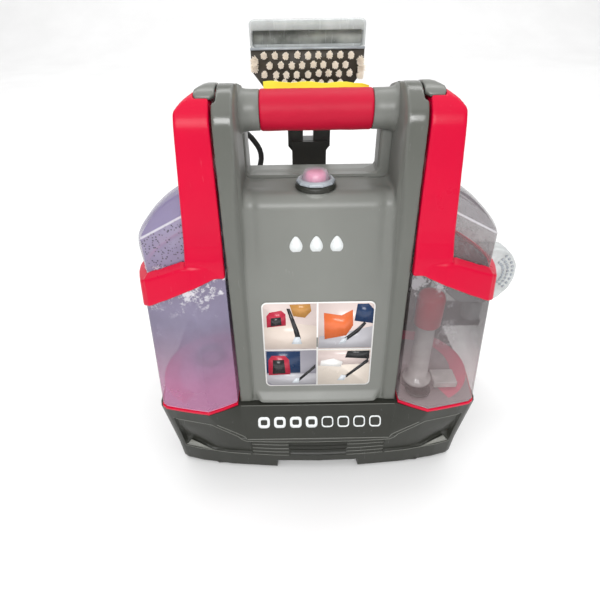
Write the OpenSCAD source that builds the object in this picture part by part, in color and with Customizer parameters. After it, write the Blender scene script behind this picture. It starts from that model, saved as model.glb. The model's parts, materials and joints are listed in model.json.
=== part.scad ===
// Portable carpet spot cleaner: a central body with a carrying handle, two lift-off side tanks,
// a hand tool standing in a rear dock and the mains lead wound on rear hooks.
// Front is -Y. Modules are drawn about the machine's own mid-plane (x = 0), then moved by in_frame()
// so that the origin is the bottom centre of the whole object without its cord.

/* [Body] */
// Height of the two column tops above the floor
top_z = 368; // [360:1:376]
// Height of the base, up to the seam under the tanks
base_z = 84; // [78:1:88]
// Half the distance across the outer faces of the two columns
column_out = 78; // [76:1:80]
// Half the distance between the inner faces of the two columns
column_in = 62; // [58:1:64]
// Backward lean of the front face, degrees
lean = 5; // [3:0.5:6]
// Front face of the panel where it meets the base
panel_foot_y = -95; // [-97:1:-93]
// Front-to-back place of the seam between the front and rear covers
split_y = -29; // [-32:1:-26]
// Radius of the front top corner of the columns
column_corner = 30; // [22:1:34]
// Wall thickness of the moulded covers
wall = 2.5; // [2:0.1:3]

/* [Handle] */
// Diameter of the soft grip
grip_d = 31; // [28:0.5:34]
// Length of the soft grip
grip_len = 91; // [80:1:100]
// Height of the handle axis above the floor
handle_z = 346; // [342:1:348]

/* [Tanks] */
// Half width of the machine across the tanks
tank_out = 160; // [156:1:164]
// Height of the line where the red band meets the column
band_z = 228; // [222:1:232]
// Wall thickness of the tanks
tank_wall = 2.2; // [1.8:0.1:2.6]

/* [Hand tool] */
// Width of the tool head
head_w = 112; // [104:1:116]
// Sideways place of the tool in its dock
tool_x = -4; // [-6:1:0]
// Front-to-back place of the tool axis
tool_y = 82; // [80:1:84]

/* [Mains lead] */
// Diameter of the mains lead
lead_d = 6; // [6:0.1:7]

/* [Hidden] */
$fn = 48;

frame_x = -35;          // from the machine's mid-plane to the row frame
frame_y = 4;
grey = "dimgray";
dark = [0.27, 0.27, 0.25];
black = [0.1, 0.1, 0.1];
red = [0.9, 0.1, 0.25];
crimson = [0.75, 0.1, 0.2];
lilac = [0.65, 0.6, 0.78, 0.6];
clear = [0.8, 0.82, 0.84, 0.5];
cream = [0.92, 0.88, 0.8];

column_axis_z = top_z - column_corner;
column_axis_y = front_y(column_axis_z) + column_corner / cos(lean);
sill_z = 294;           // shoulder height at the cover seam
housing_y = 62;         // back face of the rear cover
button_x = -2;
button_y = -51;
button_z = 293;         // top of the boss that the button stands on
floor_z = base_z + 4;   // underside of the tank floors
valve_at = [118, -30];  // clean tank outlet
riser_at = [101, -70];  // dirty tank inlet
duct_x = 52;
duct_y = -62;
pump_at = [-51, 37];
screw_x = 132;
screw_y = 68;
bung_at = [90, 262];    // x and z of the drain bung
latch_z = 362.5;        // underside of the latch caps at rest
strap_inner_y = -76.4;  // back of the strap where it meets the band
motor_y = -8;
hook_top = [-112, 222]; // x and z of the upper cord hook
hook_low = [-122, 132];
turn_in = 25;           // inner radius of the cord winding
turn_out = 37.5;
winding_y = [64, 102];
plug_at = [-52, 88];

// Route of the lead from its gland to the winding, and of the loose turn from the winding to the plug.
lead_route = [
  [-80, 92, 114], [-80, 92, 126], [-81, 92, 138], [-83, 92, 152], [-86, 92, 166]
];
loose_route = [
  [-79, 98, 226], [-81, 98, 240], [-87, 98, 255], [-95, 98, 269], [-101, 97, 283], [-99, 96, 297],
  [-89, 95, 305], [-75, 94, 302], [-63, 93, 291], [-57, 92, 278], [-59, 91, 264], [-63, 90, 249],
  [-66, 90, 234], [-67, 90, 218], [-66, 90, 202], [-63, 89, 186], [-59, 89, 170], [-55, 88, 154],
  [-53, 88, 140], [-52, 88, 126], [-52, 88, 114]
];

function front_y(z) = panel_foot_y + (z - base_z) * tan(lean);
function arc(cx, cy, r, a0, a1, n = 10) =
  [for (i = [0:n]) let (a = a0 + (a1 - a0) * i / n) [cx + r * cos(a), cy + r * sin(a)]];
function flipped(points) = [for (i = [len(points) - 1:-1:0]) [-points[i][0], points[i][1]]];

module in_frame() {
  translate([frame_x, frame_y, 0]) children();
}

// A prism along X from x0 to x1 whose outline is given as [y, z] points.
module along_x(x0, x1) {
  translate([x0, 0, 0]) rotate([90, 0, 90]) linear_extrude(x1 - x0) children();
}

// A prism along Y from y0 to y1 whose outline is given as [x, z] points.
module along_y(y0, y1) {
  translate([0, y1, 0]) rotate([90, 0, 0]) linear_extrude(y1 - y0) children();
}

module plate(z, t = 0.4) {
  translate([0, 0, z]) linear_extrude(t) children();
}

module rounded_rect(w, h, r) {
  translate([-w / 2 + r, -h / 2]) square([w - 2 * r, h]);
  translate([-w / 2, -h / 2 + r]) square([w, h - 2 * r]);
  for (x = [-1, 1], y = [-1, 1])
    translate([x * (w / 2 - r), y * (h / 2 - r)]) circle(r);
}

module tube(r_out, r_in, h) {
  difference() {
    cylinder(r = r_out, h = h);
    translate([0, 0, -1]) cylinder(r = r_in, h = h + 2);
  }
}

// ---- Base ----

// Plan of the base at one height: half width, front bow and rear depth vary with it.
module base_plan(half, corner_y, rear_y, inset = 0) {
  h = half - inset;
  bow = 14;
  polygon([
    [-h, corner_y + 14], [-h + 5, corner_y + 3 + inset], [-107, corner_y - bow + inset],
    [107, corner_y - bow + inset], [h - 5, corner_y + 3 + inset], [h, corner_y + 14],
    [h, rear_y - 26], [h - 14, rear_y - 6 - inset], [h - 40, rear_y - inset],
    [-h + 40, rear_y - inset], [-h + 14, rear_y - 6 - inset], [-h, rear_y - 26]
  ]);
}

module base_block(inset, z0, z1) {
  hull() {
    plate(z0) base_plan(146, -101, 100, inset);
    plate(26) base_plan(150, -101, 103, inset);
    plate(z1 - 0.4) base_plan(tank_out, -98, 104, inset);
  }
}

// Wedge that slopes the middle of the base front back to the panel.
module base_slope() {
  hull() {
    along_y(-130, -112.5) polygon([[-110, 86], [110, 86], [72, 47], [-72, 47]]);
    along_y(-99, -98) polygon([[-78, 86], [78, 86], [77, 84], [-77, 84]]);
  }
}

module screw_places() {
  for (x = [-screw_x, screw_x], y = [-screw_y, screw_y]) translate([x, y, 6]) children();
}

module base_tub() {
  color(dark) difference() {
    base_block(0, 2, base_z);
    difference() {
      base_block(3, 1, base_z - 4);
      translate([0, 4, 0]) base_slope();
      screw_places() tube(5, 1.9, 80);
    }
    base_slope();
    translate([-66, -78, 70]) cube([132, 130, 20]);
    for (z = [20, 27, 34, 41]) translate([-70, -117, z]) cube([140, 3.6, 3]);
    translate([-43, -120, 0]) cube([86, 20, 13]);
    translate([valve_at[0] * -1, valve_at[1], 60]) cylinder(r = 20, h = 40);
    translate([riser_at[0], riser_at[1], 60]) cylinder(r = 15, h = 40);
  }
}

module base_pan() {
  color(black) difference() {
    plate(3, 3) base_plan(146, -98, 100, 4.5);
    for (x = [-30:10:30]) translate([x - 2, -60, 2]) cube([4, 60, 6]);
    screw_places() translate([0, 0, -4]) cylinder(r = 2.2, h = 6);
    translate([-44, -120, 0]) cube([88, 24, 13]);
  }
}

module rubber_feet() {
  color(black) for (x = [-118, 118], y = [-78, 76])
    translate([x, y, 0]) cylinder(r = 9, h = 3);
}

module case_screws() {
  color("silver") screw_places() {
    translate([0, 0, -5.2]) cylinder(r = 4, h = 2.2);
    translate([0, 0, -5.2]) cylinder(r = 1.9, h = 14);
  }
}

// ---- Covers ----

module column_front(t = 0) {
  z0 = base_z - (t > 0 ? 1 : 0);
  s = split_y + (t > 0 ? 1 : 0);
  polygon(concat(
    [[s, z0], [front_y(base_z) + t, z0]],
    arc(column_axis_y, column_axis_z, column_corner - t, 180 - lean, 90),
    [[s, top_z - t]]
  ));
}

module column_rear(t = 0) {
  s = split_y - (t > 0 ? 1 : 0);
  polygon(concat(
    [[s, 280], [s, top_z - t]],
    arc(-4, top_z - 20, 20 - t, 90, 8, 6),
    [[22 - t, 280]]
  ));
}

module panel_profile(t = 0) {
  z0 = base_z - (t > 0 ? 1 : 0);
  s = split_y + (t > 0 ? 1 : 0);
  polygon(concat(
    [[s, z0], [front_y(base_z) + 1.5 + t, z0], [front_y(262) + 3 + t, 262]],
    arc(front_y(270) + 17, 271, 14 - t, 176, 100, 6),
    [[s, sill_z - t]]
  ));
}

module core_profile(t = 0) {
  s = split_y - (t > 0 ? 1 : 0);
  z0 = base_z - (t > 0 ? 1 : 0);
  polygon([[s, z0], [housing_y - t, z0], [housing_y - t, 250 - t], [22 - t, 287 - t],
    [s, sill_z - t]]);
}

module wing_profile(t = 0) {
  z0 = base_z - (t > 0 ? 1 : 0);
  polygon(concat([[-140 + t, z0]], arc(-116, 206, 24 - t, 180, 90, 6),
    flipped(concat([[-140 + t, z0]], arc(-116, 206, 24 - t, 180, 90, 6)))));
}

module front_cover() {
  color(grey) difference() {
    union() {
      along_x(-column_in, column_in) panel_profile();
      for (s = [0, 1]) mirror([s, 0, 0]) along_x(column_in, column_out) column_front();
      translate([button_x, button_y, 283]) cylinder(r = 19, h = button_z - 283);
      along_x(-column_in, column_in)
        polygon([[-90, base_z], [-99, base_z], [-99.5, 87], [front_y(97), 97], [-90, 97]]);
    }
    along_x(-column_in - 1, column_in + 1) panel_profile(wall);
    for (s = [0, 1]) mirror([s, 0, 0])
      along_x(column_in + wall, column_out - wall) column_front(wall);
    for (s = [0, 1]) mirror([s, 0, 0])
      along_x(column_in - 1, column_out - wall) panel_profile(wall + 1);
    translate([button_x, button_y, 270]) cylinder(r = 12.5, h = 40);
  }
}

module rear_cover() {
  color(grey) difference() {
    union() {
      along_x(-column_out, column_out) core_profile();
      for (s = [0, 1]) mirror([s, 0, 0]) along_x(column_in, column_out) column_rear();
      along_y(34, housing_y) wing_profile();
    }
    along_x(-column_out + wall, column_out - wall) core_profile(wall);
    for (s = [0, 1]) mirror([s, 0, 0])
      along_x(column_in + wall, column_out - wall) column_rear(wall);
    along_y(34 + wall, housing_y - wall) wing_profile(wall);
    translate([75, 50, 120]) rotate([-90, 0, 0]) cylinder(r = 17, h = 20);
  }
}

// ---- Handle ----

module along_handle() {
  translate([0, split_y, handle_z]) rotate([0, 90, 0]) children();
}

module handle_bar() {
  end_len = column_in - grip_len / 2 - 0.2;
  color(grey) along_handle() {
    translate([0, 0, -column_in]) cylinder(r = 11, h = 2 * column_in);
    for (s = [0, 1]) mirror([0, 0, s]) translate([0, 0, column_in - end_len])
      cylinder(r = grip_d / 2 - 0.6, h = end_len);
  }
}

module handle_grip() {
  color(crimson) along_handle() translate([0, 0, -grip_len / 2])
    tube(grip_d / 2 - 0.05, 11, grip_len);
}

module grip_tape() {
  color("gold") along_handle() translate([0, 0, -grip_len / 2 + 3]) {
    rotate_extrude(angle = 66, start = 118) translate([grip_d / 2, 0]) square([0.5, 84]);
    rotate([0, 0, -14]) translate([-grip_d / 2 - 7, 2.2, 0]) cube([7.2, 0.5, 84]);
  }
}

// ---- Label and power button ----

module picture_label() {
  half_w = 51.5;
  z0 = 103;
  z1 = 198;
  mid = (z0 + z1) / 2;
  color("wheat") translate([0, front_y(mid) + 1.5 + 1.5 * (mid - base_z) / 178, mid])
    rotate([-lean - 0.48 + 90, 0, 0]) linear_extrude(0.4) rounded_rect(2 * half_w, z1 - z0, 5);
}

module at_button(z) {
  translate([button_x, button_y, z]) children();
}

module button_bezel() {
  color(dark) at_button(button_z) tube(17.5, 12.5, 2.5);
}

module button_flange() {
  color(clear) at_button(button_z + 2.5) {
    tube(16.4, 11.4, 2);
    for (a = [0:45:315]) rotate([0, 0, a + 20]) translate([16.3, -1.3, 0]) cube([1.5, 2.6, 1.6]);
  }
}

module power_button() {
  color("pink") at_button(0) {
    translate([0, 0, 288.5]) cylinder(r = 11, h = 12.5);
    translate([0, 0, 301]) cylinder(r1 = 11, r2 = 7.5, h = 3.6);
  }
}

module button_spring() {
  color("silver") at_button(282.5) tube(6, 5, 6);
}

module switch_body() {
  color(black) translate([button_x - 10, button_y - 8, 258]) cube([20, 16, 20]);
  color(black) at_button(278) cylinder(r = 8, h = 4.5);
}

// ---- Inside the body ----

module suction_motor() {
  color("silver") translate([0, motor_y, 100]) difference() {
    cylinder(r = 40, h = 78);
    translate([0, 0, 68]) cylinder(r = 3.05, h = 20);
  }
}

module motor_shaft() {
  color("silver") translate([0, motor_y, 168.5]) cylinder(r = 3, h = 27.5);
}

module motor_mount() {
  color(black) translate([0, motor_y, 6]) {
    cylinder(r = 30, h = 94);
    translate([0, 0, 86]) cylinder(r = 44, h = 8);
    translate([0, 0, 94]) tube(44, 40, 12);
  }
}

module fan_housing() {
  color(dark) translate([0, motor_y, 0]) difference() {
    translate([0, 0, 184]) cylinder(r = 48, h = 28);
    translate([0, 0, 188]) cylinder(r = 44, h = 20);
    translate([0, 0, 180]) cylinder(r = 8, h = 12);
    translate([0, 0, 200]) cylinder(r = 15, h = 20);
  }
}

module fan() {
  color("silver") translate([0, motor_y, 0]) {
    translate([0, 0, 191]) difference() {
      cylinder(r = 41, h = 2);
      translate([0, 0, -1]) cylinder(r = 3, h = 4);
    }
    for (a = [0:40:320]) rotate([0, 0, a]) translate([16, 0, 192.5]) cube([23, 1.6, 11]);
  }
}

// Duct from the dirty tank seat, through the base, up to the eye of the fan.
module suction_duct() {
  color(dark) difference() {
    union() {
      translate([riser_at[0], riser_at[1], 46]) cylinder(r = 14.8, h = base_z - 46);
      translate([duct_x, duct_y, 54]) rotate([0, 90, 0]) cylinder(r = 8, h = 40);
      translate([duct_x, duct_y, 45]) cylinder(r = 9, h = 181);
      translate([duct_x, duct_y, 226]) sphere(r = 9);
      translate([duct_x, duct_y, 226]) rotate([-90, 0, 0]) cylinder(r = 9, h = motor_y - duct_y);
      translate([0, motor_y, 226]) rotate([0, 90, 0]) cylinder(r = 9, h = duct_x + 9);
      translate([0, motor_y, 212]) cylinder(r = 14.8, h = 23);
    }
    translate([riser_at[0], riser_at[1], 50]) cylinder(r = 12, h = 40);
    translate([duct_x, duct_y, 54]) rotate([0, 90, 0]) cylinder(r = 6, h = 40);
    translate([duct_x, duct_y, 50]) cylinder(r = 7, h = 176);
    translate([0, motor_y, 211]) cylinder(r = 12, h = 21);
    translate([0, motor_y, 226]) rotate([0, 90, 0]) cylinder(r = 7, h = duct_x);
    translate([duct_x, duct_y, 226]) rotate([-90, 0, 0]) cylinder(r = 7, h = motor_y - duct_y);
  }
}

module pump_body() {
  color("silver") translate([pump_at[0], pump_at[1], 92]) difference() {
    translate([-17, -13, 0]) cube([34, 26, 44]);
    translate([0, 0, 30]) cylinder(r = 7.05, h = 20);
  }
}

module pump_plunger() {
  color("silver") translate([pump_at[0], pump_at[1], 122.5]) cylinder(r = 7, h = 18);
}

module water_tube() {
  x0 = -valve_at[0];
  y0 = valve_at[1];
  color("white") {
    translate([x0, y0, 52]) cylinder(r = 4, h = 8);
    translate([x0, y0, 52]) sphere(r = 4);
    translate([x0, y0, 52]) rotate([0, 90, 0]) cylinder(r = 4, h = pump_at[0] - x0);
    translate([pump_at[0], y0, 52]) sphere(r = 4);
    translate([pump_at[0], y0, 52]) rotate([-90, 0, 0]) cylinder(r = 4, h = pump_at[1] - y0);
    translate([pump_at[0], pump_at[1], 52]) sphere(r = 4);
    translate([pump_at[0], pump_at[1], 52]) cylinder(r = 4, h = 40);
  }
}

// ---- Tank seats ----

// Plan of the right-hand tank at one height. The front is bowed, with its inner end, its vertex and
// its outer corner at the three given depths, and the outer rear corner is one large round.
foot_front = [-98, -110.5, -95.5];
band_front_y = [-82.5, -86, -81.5];

function front_at(z) = foot_front + (band_front_y - foot_front) * (z - floor_z) / (band_z - 2 - floor_z);

module tank_plan(front, grow = 0) {
  offset(delta = grow) polygon(concat(
    [[80, 14], [80, front[0]], [107, front[1]], [tank_out - 4, front[2]],
      [tank_out, front[2] + 10]],
    arc(tank_out - 60, -46, 60, 0, 90, 8)
  ));
}

module cradle(bore_at, bore_r) {
  difference() {
    plate(base_z, 3) tank_plan(foot_front, 0.8);
    translate([bore_at[0], bore_at[1], 80]) cylinder(r = bore_r, h = 10);
  }
}

module cradle_left() {
  color(red) mirror([1, 0, 0]) cradle(valve_at, 20);
}

module cradle_right() {
  color(red) cradle(riser_at, 15);
}

module water_valve_seat() {
  color(black) translate([-valve_at[0], valve_at[1], 60]) {
    difference() {
      cylinder(r = 19.9, h = 24);
      translate([0, 0, 4]) cylinder(r = 17.6, h = 30);
    }
    translate([0, 0, 4]) cylinder(r = 2, h = 7);
  }
}

module suction_seal() {
  color(black) translate([riser_at[0], riser_at[1], base_z]) tube(14.9, 12, 3.6);
}

// ---- Tanks, drawn for the right-hand side ----

module tank_shape(inset) {
  lower_tank(inset);
  upper_tank(inset);
}

module lower_tank(inset) {
  hull() {
    plate(floor_z + inset) tank_plan(foot_front, -inset);
    plate(band_z - 2.4 - inset) tank_plan(band_front_y, -inset);
  }
}

module upper_tank(inset) {
  hull() {
    plate(band_z - 8) upper_plan(152, -76, inset);
    plate(258 - inset) upper_plan(149, -73.5, inset);
    plate(275 - inset) upper_plan(112, -72, inset);
    plate(301.6 - inset) upper_plan(112, -50, inset);
  }
}

module upper_plan(x1, y0, inset) {
  x0 = 80.6;
  y1 = 6;
  polygon([
    [x0 + inset, y1 - inset], [x0 + inset, y0 + inset], [x1 - 8 - inset, y0 + inset],
    [x1 - inset, y0 + 8 + inset], [x1 - inset, y1 - 30 - inset], [x1 - 26 - inset, y1 - inset]
  ]);
}

module tank_shell() {
  difference() {
    tank_shape(0);
    tank_shape(tank_wall);
    children();
  }
}

// Side view of the carrying strap: [y, z] outline, t thick where it is clear of the tank.
module strap_side(t) {
  y1 = 6;
  polygon(concat(
    [[front_y(band_z - 1), band_z - 1]],
    arc(column_axis_y, column_axis_z - 1, column_corner, 180 - lean, 90, 8),
    arc(y1 - 22, top_z - 24, 23, 90, 0, 6),
    [[y1 + 1, 302.2], [y1 - t, 302.2]],
    arc(y1 - 24, top_z - 26, 24 - t, 0, 90, 4),
    arc(column_axis_y + 4, column_axis_z - 5, column_corner - t + 4, 90, 180 - lean, 6),
    [[front_y(292) + t, 292], [-72.4, 275.6], [-73.9, 258.4], [strap_inner_y, band_z - 1]]
  ));
}

// Front view of the strap: [x, z] outline.
module strap_front() {
  polygon([[79.5, band_z - 1], [79.5, 367], [91, 363.5], [100, 357], [105.5, 347], [112, 238],
    [112, band_z - 1]]);
}

module band_front() {
  polygon([[79.5, band_z], [147, 199], [166, 191], [166, 219.5], [147, 226], [112, 238],
    [79.5, 238]]);
}

module band_hull(grow) {
  hull() {
    plate(186) tank_plan(front_at(186), grow);
    plate(240) tank_plan(front_at(240), grow);
  }
}

module tank_band() {
  difference() {
    intersection() {
      band_hull(2.2);
      along_y(-120, 16) band_front();
    }
    intersection() {
      band_hull(0.9);
      translate([60, -120, 170]) cube([120, 160, 56.4]);
    }
    translate([60, strap_inner_y, 226.3]) cube([120, 120, 30]);
    translate([60, -120, 170]) cube([20.2, 160, 56.4]);
    translate([60, -120, 170]) cube([19.5, 160, 80]);
  }
}

module tank_arm() {
  tank_band();
  difference() {
    intersection() {
      along_x(79.5, 113) strap_side(13);
      along_y(-100, 20) strap_front();
    }
    translate([79, -46.4, latch_z - 3]) cube([16.4, 40.8, 30]);
  }
}

module latch_cap() {
  along_y(-46, -6) polygon([[80, latch_z], [95, latch_z], [95, 364], [92, 366], [88, 367.6],
    [80, 368.4]]);
}

module clean_tank() {
  color(lilac) mirror([1, 0, 0]) tank_shell()
    translate([valve_at[0], valve_at[1], 80]) cylinder(r = 14, h = 20);
}

module clean_tank_arm() {
  color(red) mirror([1, 0, 0]) tank_arm();
}

module clean_latch() {
  color(grey) mirror([1, 0, 0]) latch_cap();
}

module clean_cap() {
  color(grey) translate([-valve_at[0], valve_at[1], 76]) difference() {
    union() {
      cylinder(r = 17, h = 12);
      translate([0, 0, 12]) cylinder(r = 13.95, h = 6);
    }
    translate([0, 0, 4]) cylinder(r = 11, h = 20);
    translate([0, 0, -1]) cylinder(r = 3.55, h = 10);
  }
}

module clean_cap_valve() {
  color("white") translate([-valve_at[0], valve_at[1], 75.5]) {
    cylinder(r = 3.5, h = 8);
    translate([0, 0, 4.6]) cylinder(r = 7, h = 3);
  }
}

module dirty_tank() {
  color(clear) tank_shell() {
    translate([riser_at[0], riser_at[1], 80]) cylinder(r = 12, h = 20);
    translate([bung_at[0], 0, bung_at[1]]) rotate([-90, 0, 0]) cylinder(r = 6.5, h = 20);
  }
}

module dirty_bung() {
  color(black) translate([bung_at[0], 0, bung_at[1]]) rotate([-90, 0, 0]) {
    translate([0, 0, 2]) cylinder(r = 6.45, h = 4.1);
    translate([0, 0, 6.05]) cylinder(r = 9, h = 4);
  }
}

module dirty_tank_arm() {
  color(red) tank_arm();
}

module dirty_latch() {
  color(grey) latch_cap();
}

module riser_pipe() {
  color(clear) translate([riser_at[0], riser_at[1], floor_z]) {
    tube(11.95, 10, 80);
    translate([0, 0, tank_wall]) tube(15, 11.9, 4);
  }
}

// Cup that rests on the rim of the riser and lifts with the dirty water.
module float() {
  color(red) translate([riser_at[0], riser_at[1], floor_z + 74]) difference() {
    cylinder(r = 15, h = 38);
    translate([0, 0, -1]) cylinder(r = 12.1, h = 7.05);
    cylinder(r = 8, h = 34);
  }
}

// ---- Rear fittings ----

module hose_port() {
  color(black) translate([75, housing_y - 6, 120]) rotate([-90, 0, 0]) {
    tube(16.9, 15, 6);
    translate([0, 0, 6]) tube(21, 15, 26);
  }
}

// Cup on the back of the rear cover that holds the hand tool upright.
module tool_dock() {
  color(black) difference() {
    translate([tool_x - 24, housing_y, 160]) cube([48, 42, 60]);
    translate([tool_x - 18.4, tool_y - 13.4, 164]) cube([36.8, 26.8, 60]);
    translate([tool_x - 10, housing_y - 1, 185]) cube([20, 16, 60]);
    translate([tool_x - 9, tool_y - 10, 150]) cube([18, 20, 20]);
    translate([tool_x - 9.6, tool_y + 13, 165]) cube([19.2, 20, 60]);
  }
}

module cord_hooks() {
  color(black) for (p = [hook_top, hook_low]) {
    up = p == hook_top ? 1 : -1;
    translate([p[0] - 10, housing_y, p[1] - 10]) cube([20, 44, 20]);
    translate([p[0] - 10, 102.4, up > 0 ? p[1] - 10 : p[1] - 46]) cube([20, 3.6, 56]);
  }
}

// Bracket and upright peg on the right end of the rear cover.
module accessory_peg() {
  color(black) {
    translate([140, 40, 92]) cube([10, 16, 14]);
    translate([150, 14, 92]) cube([50, 42, 8]);
    translate([190, 24, 100]) cylinder(r = 7, h = 26);
  }
}

// ---- Mains lead ----

module swept(points, r, sides = 10) {
  n = len(points);
  rings = [for (i = [0:n - 1]) let (
    d = points[min(i + 1, n - 1)] - points[max(i - 1, 0)],
    t = d / norm(d),
    u = cross(t, [0, 1, 0]) / norm(cross(t, [0, 1, 0])),
    v = cross(t, u)
  ) for (k = [0:sides - 1]) points[i] + r * (u * cos(360 * k / sides) + v * sin(360 * k / sides))];
  sides_faces = [for (i = [0:n - 2], k = [0:sides - 1]) let (k2 = (k + 1) % sides)
    [i * sides + k, i * sides + k2, (i + 1) * sides + k2, (i + 1) * sides + k]];
  polyhedron(
    rings,
    concat([[for (k = [sides - 1:-1:0]) k]], sides_faces, [[for (k = [0:sides - 1]) (n - 1) * sides + k]])
  );
}

module winding_outline(r) {
  d = hook_top - hook_low;
  a = atan2(d[1], d[0]);
  polygon(concat(
    arc(hook_top[0], hook_top[1], r, a - 90, a + 90, 18),
    arc(hook_low[0], hook_low[1], r, a + 90, a + 270, 18)
  ));
}

module cord_winding() {
  color(black) along_y(winding_y[0], winding_y[1]) difference() {
    winding_outline(turn_out);
    winding_outline(turn_in);
  }
}

module cord_gland() {
  color(black) translate([lead_route[0][0], lead_route[0][1], base_z])
    cylinder(r1 = 6.5, r2 = 4, h = lead_route[0][2] - base_z);
}

module mains_lead() {
  color(black) swept(lead_route, lead_d / 2);
}

module loose_turn() {
  color(black) swept(loose_route, lead_d / 2);
}

module mains_plug() {
  color(black) translate([plug_at[0], plug_at[1], base_z]) {
    translate([-20, -12, 0]) cube([40, 22, 20]);
    translate([0, 0, 20]) cylinder(r1 = 7, r2 = 4, h = 10);
  }
}

module plug_pins() {
  color("silver") translate([plug_at[0], plug_at[1] - 12, base_z]) {
    translate([-2, -8, 12]) cube([4, 8, 4]);
    for (x = [-14, 8]) translate([x, -8, 3]) cube([6, 8, 4]);
  }
}

// ---- Hand tool ----

module tool_body() {
  color(black) translate([tool_x, tool_y, 0]) difference() {
    union() {
      translate([-18, -13, 164.3]) cube([36, 26, 132]);
      along_y(-9, 9) polygon([[-17, 290], [17, 290], [17, 297], [22, 303], [22, 350], [-22, 350],
        [-22, 303], [-17, 297]]);
      translate([-30, -6, 344]) cube([60, 12, 8]);
    }
    translate([-5.5, -20, 307]) cube([11, 40, 33]);
    translate([-9, -20, 186]) cube([18, 22, 78]);
    translate([0, -2.7, 176]) rotate([-90, 0, 0]) cylinder(r = 8.5, h = 20);
    translate([-60, -20, 347.7]) cube([120, 14.3, 20]);
  }
}

module tool_trigger() {
  color(red) translate([tool_x, tool_y, 0]) {
    along_x(-7, 7) polygon([[-14, 192], [-9, 190], [-5, 256], [-5, 262], [-13, 262], [-16, 226]]);
    translate([-8.6, -8, 257]) rotate([0, 90, 0]) cylinder(r = 2, h = 17.2);
  }
}

module head_outline(w, z0, z1, cut) {
  polygon([[-w / 2 + cut, z0], [w / 2 - cut, z0], [w / 2, z0 + cut * 1.3], [w / 2, z1], [-w / 2, z1],
    [-w / 2, z0 + cut * 1.3]]);
}

module tool_brush_plate() {
  color(dark) translate([tool_x, tool_y, 0]) along_y(-14, -6) head_outline(head_w, 348, 381, 12);
}

module tool_bristles() {
  color(cream) translate([tool_x, tool_y, 0]) along_y(-21, -14.05) head_outline(head_w - 4, 350, 380, 12);
}

module tool_nozzle() {
  color(clear) translate([tool_x, tool_y, 0]) difference() {
    union() {
      along_y(-16, 8) translate([0, 393]) rounded_rect(head_w + 1, 22, 5);
      along_y(-5.9, 8) head_outline(head_w, 352.2, 386, 12);
    }
    translate([-head_w / 2 + 4, -20, 387]) cube([head_w - 8, 24, 12]);
    along_y(-4, 5) head_outline(head_w - 6, 356, 390, 10);
  }
}

// Clear spare nozzle, standing on its peg.
module spare_nozzle() {
  color(clear) difference() {
    union() {
      along_y(12, 36) polygon([[168, 120], [206, 120], [226, 140], [232, 166], [226, 190], [206, 207],
        [158, 207], [150, 196], [150, 140]]);
      translate([190, 24, 100]) cylinder(r = 11, h = 26);
    }
    along_y(15, 33) polygon([[172, 132], [205, 132], [222, 146], [228, 166], [223, 187], [205, 203],
      [160, 203], [154, 194], [154, 144]]);
    translate([190, 24, 99]) cylinder(r = 7.08, h = 41);
    translate([160, 30, 196]) cube([44, 10, 20]);
  }
}

in_frame() base_tub();
in_frame() base_pan();
in_frame() rubber_feet();
in_frame() front_cover();
in_frame() rear_cover();
in_frame() handle_bar();
in_frame() handle_grip();
in_frame() grip_tape();
in_frame() picture_label();
in_frame() button_bezel();
in_frame() button_flange();
in_frame() button_spring();
in_frame() switch_body();
in_frame() cradle_left();
in_frame() cradle_right();
in_frame() water_valve_seat();
in_frame() suction_seal();
in_frame() suction_duct();
in_frame() suction_motor();
in_frame() motor_mount();
in_frame() motor_shaft();
in_frame() fan_housing();
in_frame() fan();
in_frame() pump_body();
in_frame() pump_plunger();
in_frame() water_tube();
in_frame() hose_port();
in_frame() tool_dock();
in_frame() cord_hooks();
in_frame() accessory_peg();
in_frame() case_screws();
in_frame() cord_gland();
in_frame() mains_lead();
in_frame() cord_winding();
in_frame() loose_turn();
in_frame() mains_plug();
in_frame() plug_pins();
in_frame() power_button();
in_frame() clean_tank();
in_frame() clean_tank_arm();
in_frame() clean_latch();
in_frame() clean_cap();
in_frame() clean_cap_valve();
in_frame() dirty_tank();
in_frame() dirty_tank_arm();
in_frame() dirty_latch();
in_frame() riser_pipe();
in_frame() float();
in_frame() dirty_bung();
in_frame() tool_body();
in_frame() tool_brush_plate();
in_frame() tool_bristles();
in_frame() tool_trigger();
in_frame() tool_nozzle();
in_frame() spare_nozzle();
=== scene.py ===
"""Looks of the portable carpet spot cleaner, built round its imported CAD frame.

Lengths in the outlines are millimetres from the machine's own mid-plane, as at() explains; everything
that goes to Blender is turned into metres in the row frame by at().
"""

import json
import math
import random

import bmesh
import bpy
from mathutils import Matrix, Vector, noise


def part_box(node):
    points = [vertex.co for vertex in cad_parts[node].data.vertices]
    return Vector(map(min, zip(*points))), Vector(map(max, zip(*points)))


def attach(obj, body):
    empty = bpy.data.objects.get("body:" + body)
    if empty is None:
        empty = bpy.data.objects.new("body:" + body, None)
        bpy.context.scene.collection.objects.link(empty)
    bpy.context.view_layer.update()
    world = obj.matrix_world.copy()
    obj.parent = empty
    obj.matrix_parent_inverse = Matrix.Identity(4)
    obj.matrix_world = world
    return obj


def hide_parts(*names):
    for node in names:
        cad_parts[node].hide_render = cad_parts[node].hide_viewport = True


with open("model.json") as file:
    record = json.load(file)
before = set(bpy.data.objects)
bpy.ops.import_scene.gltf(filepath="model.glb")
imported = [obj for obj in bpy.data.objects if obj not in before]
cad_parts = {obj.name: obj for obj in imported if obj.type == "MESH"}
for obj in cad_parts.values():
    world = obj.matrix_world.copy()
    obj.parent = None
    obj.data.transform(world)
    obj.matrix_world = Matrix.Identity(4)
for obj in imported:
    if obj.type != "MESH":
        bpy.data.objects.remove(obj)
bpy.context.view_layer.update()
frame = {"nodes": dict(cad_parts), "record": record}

MM = 0.001
NODES = frame["nodes"]
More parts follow.
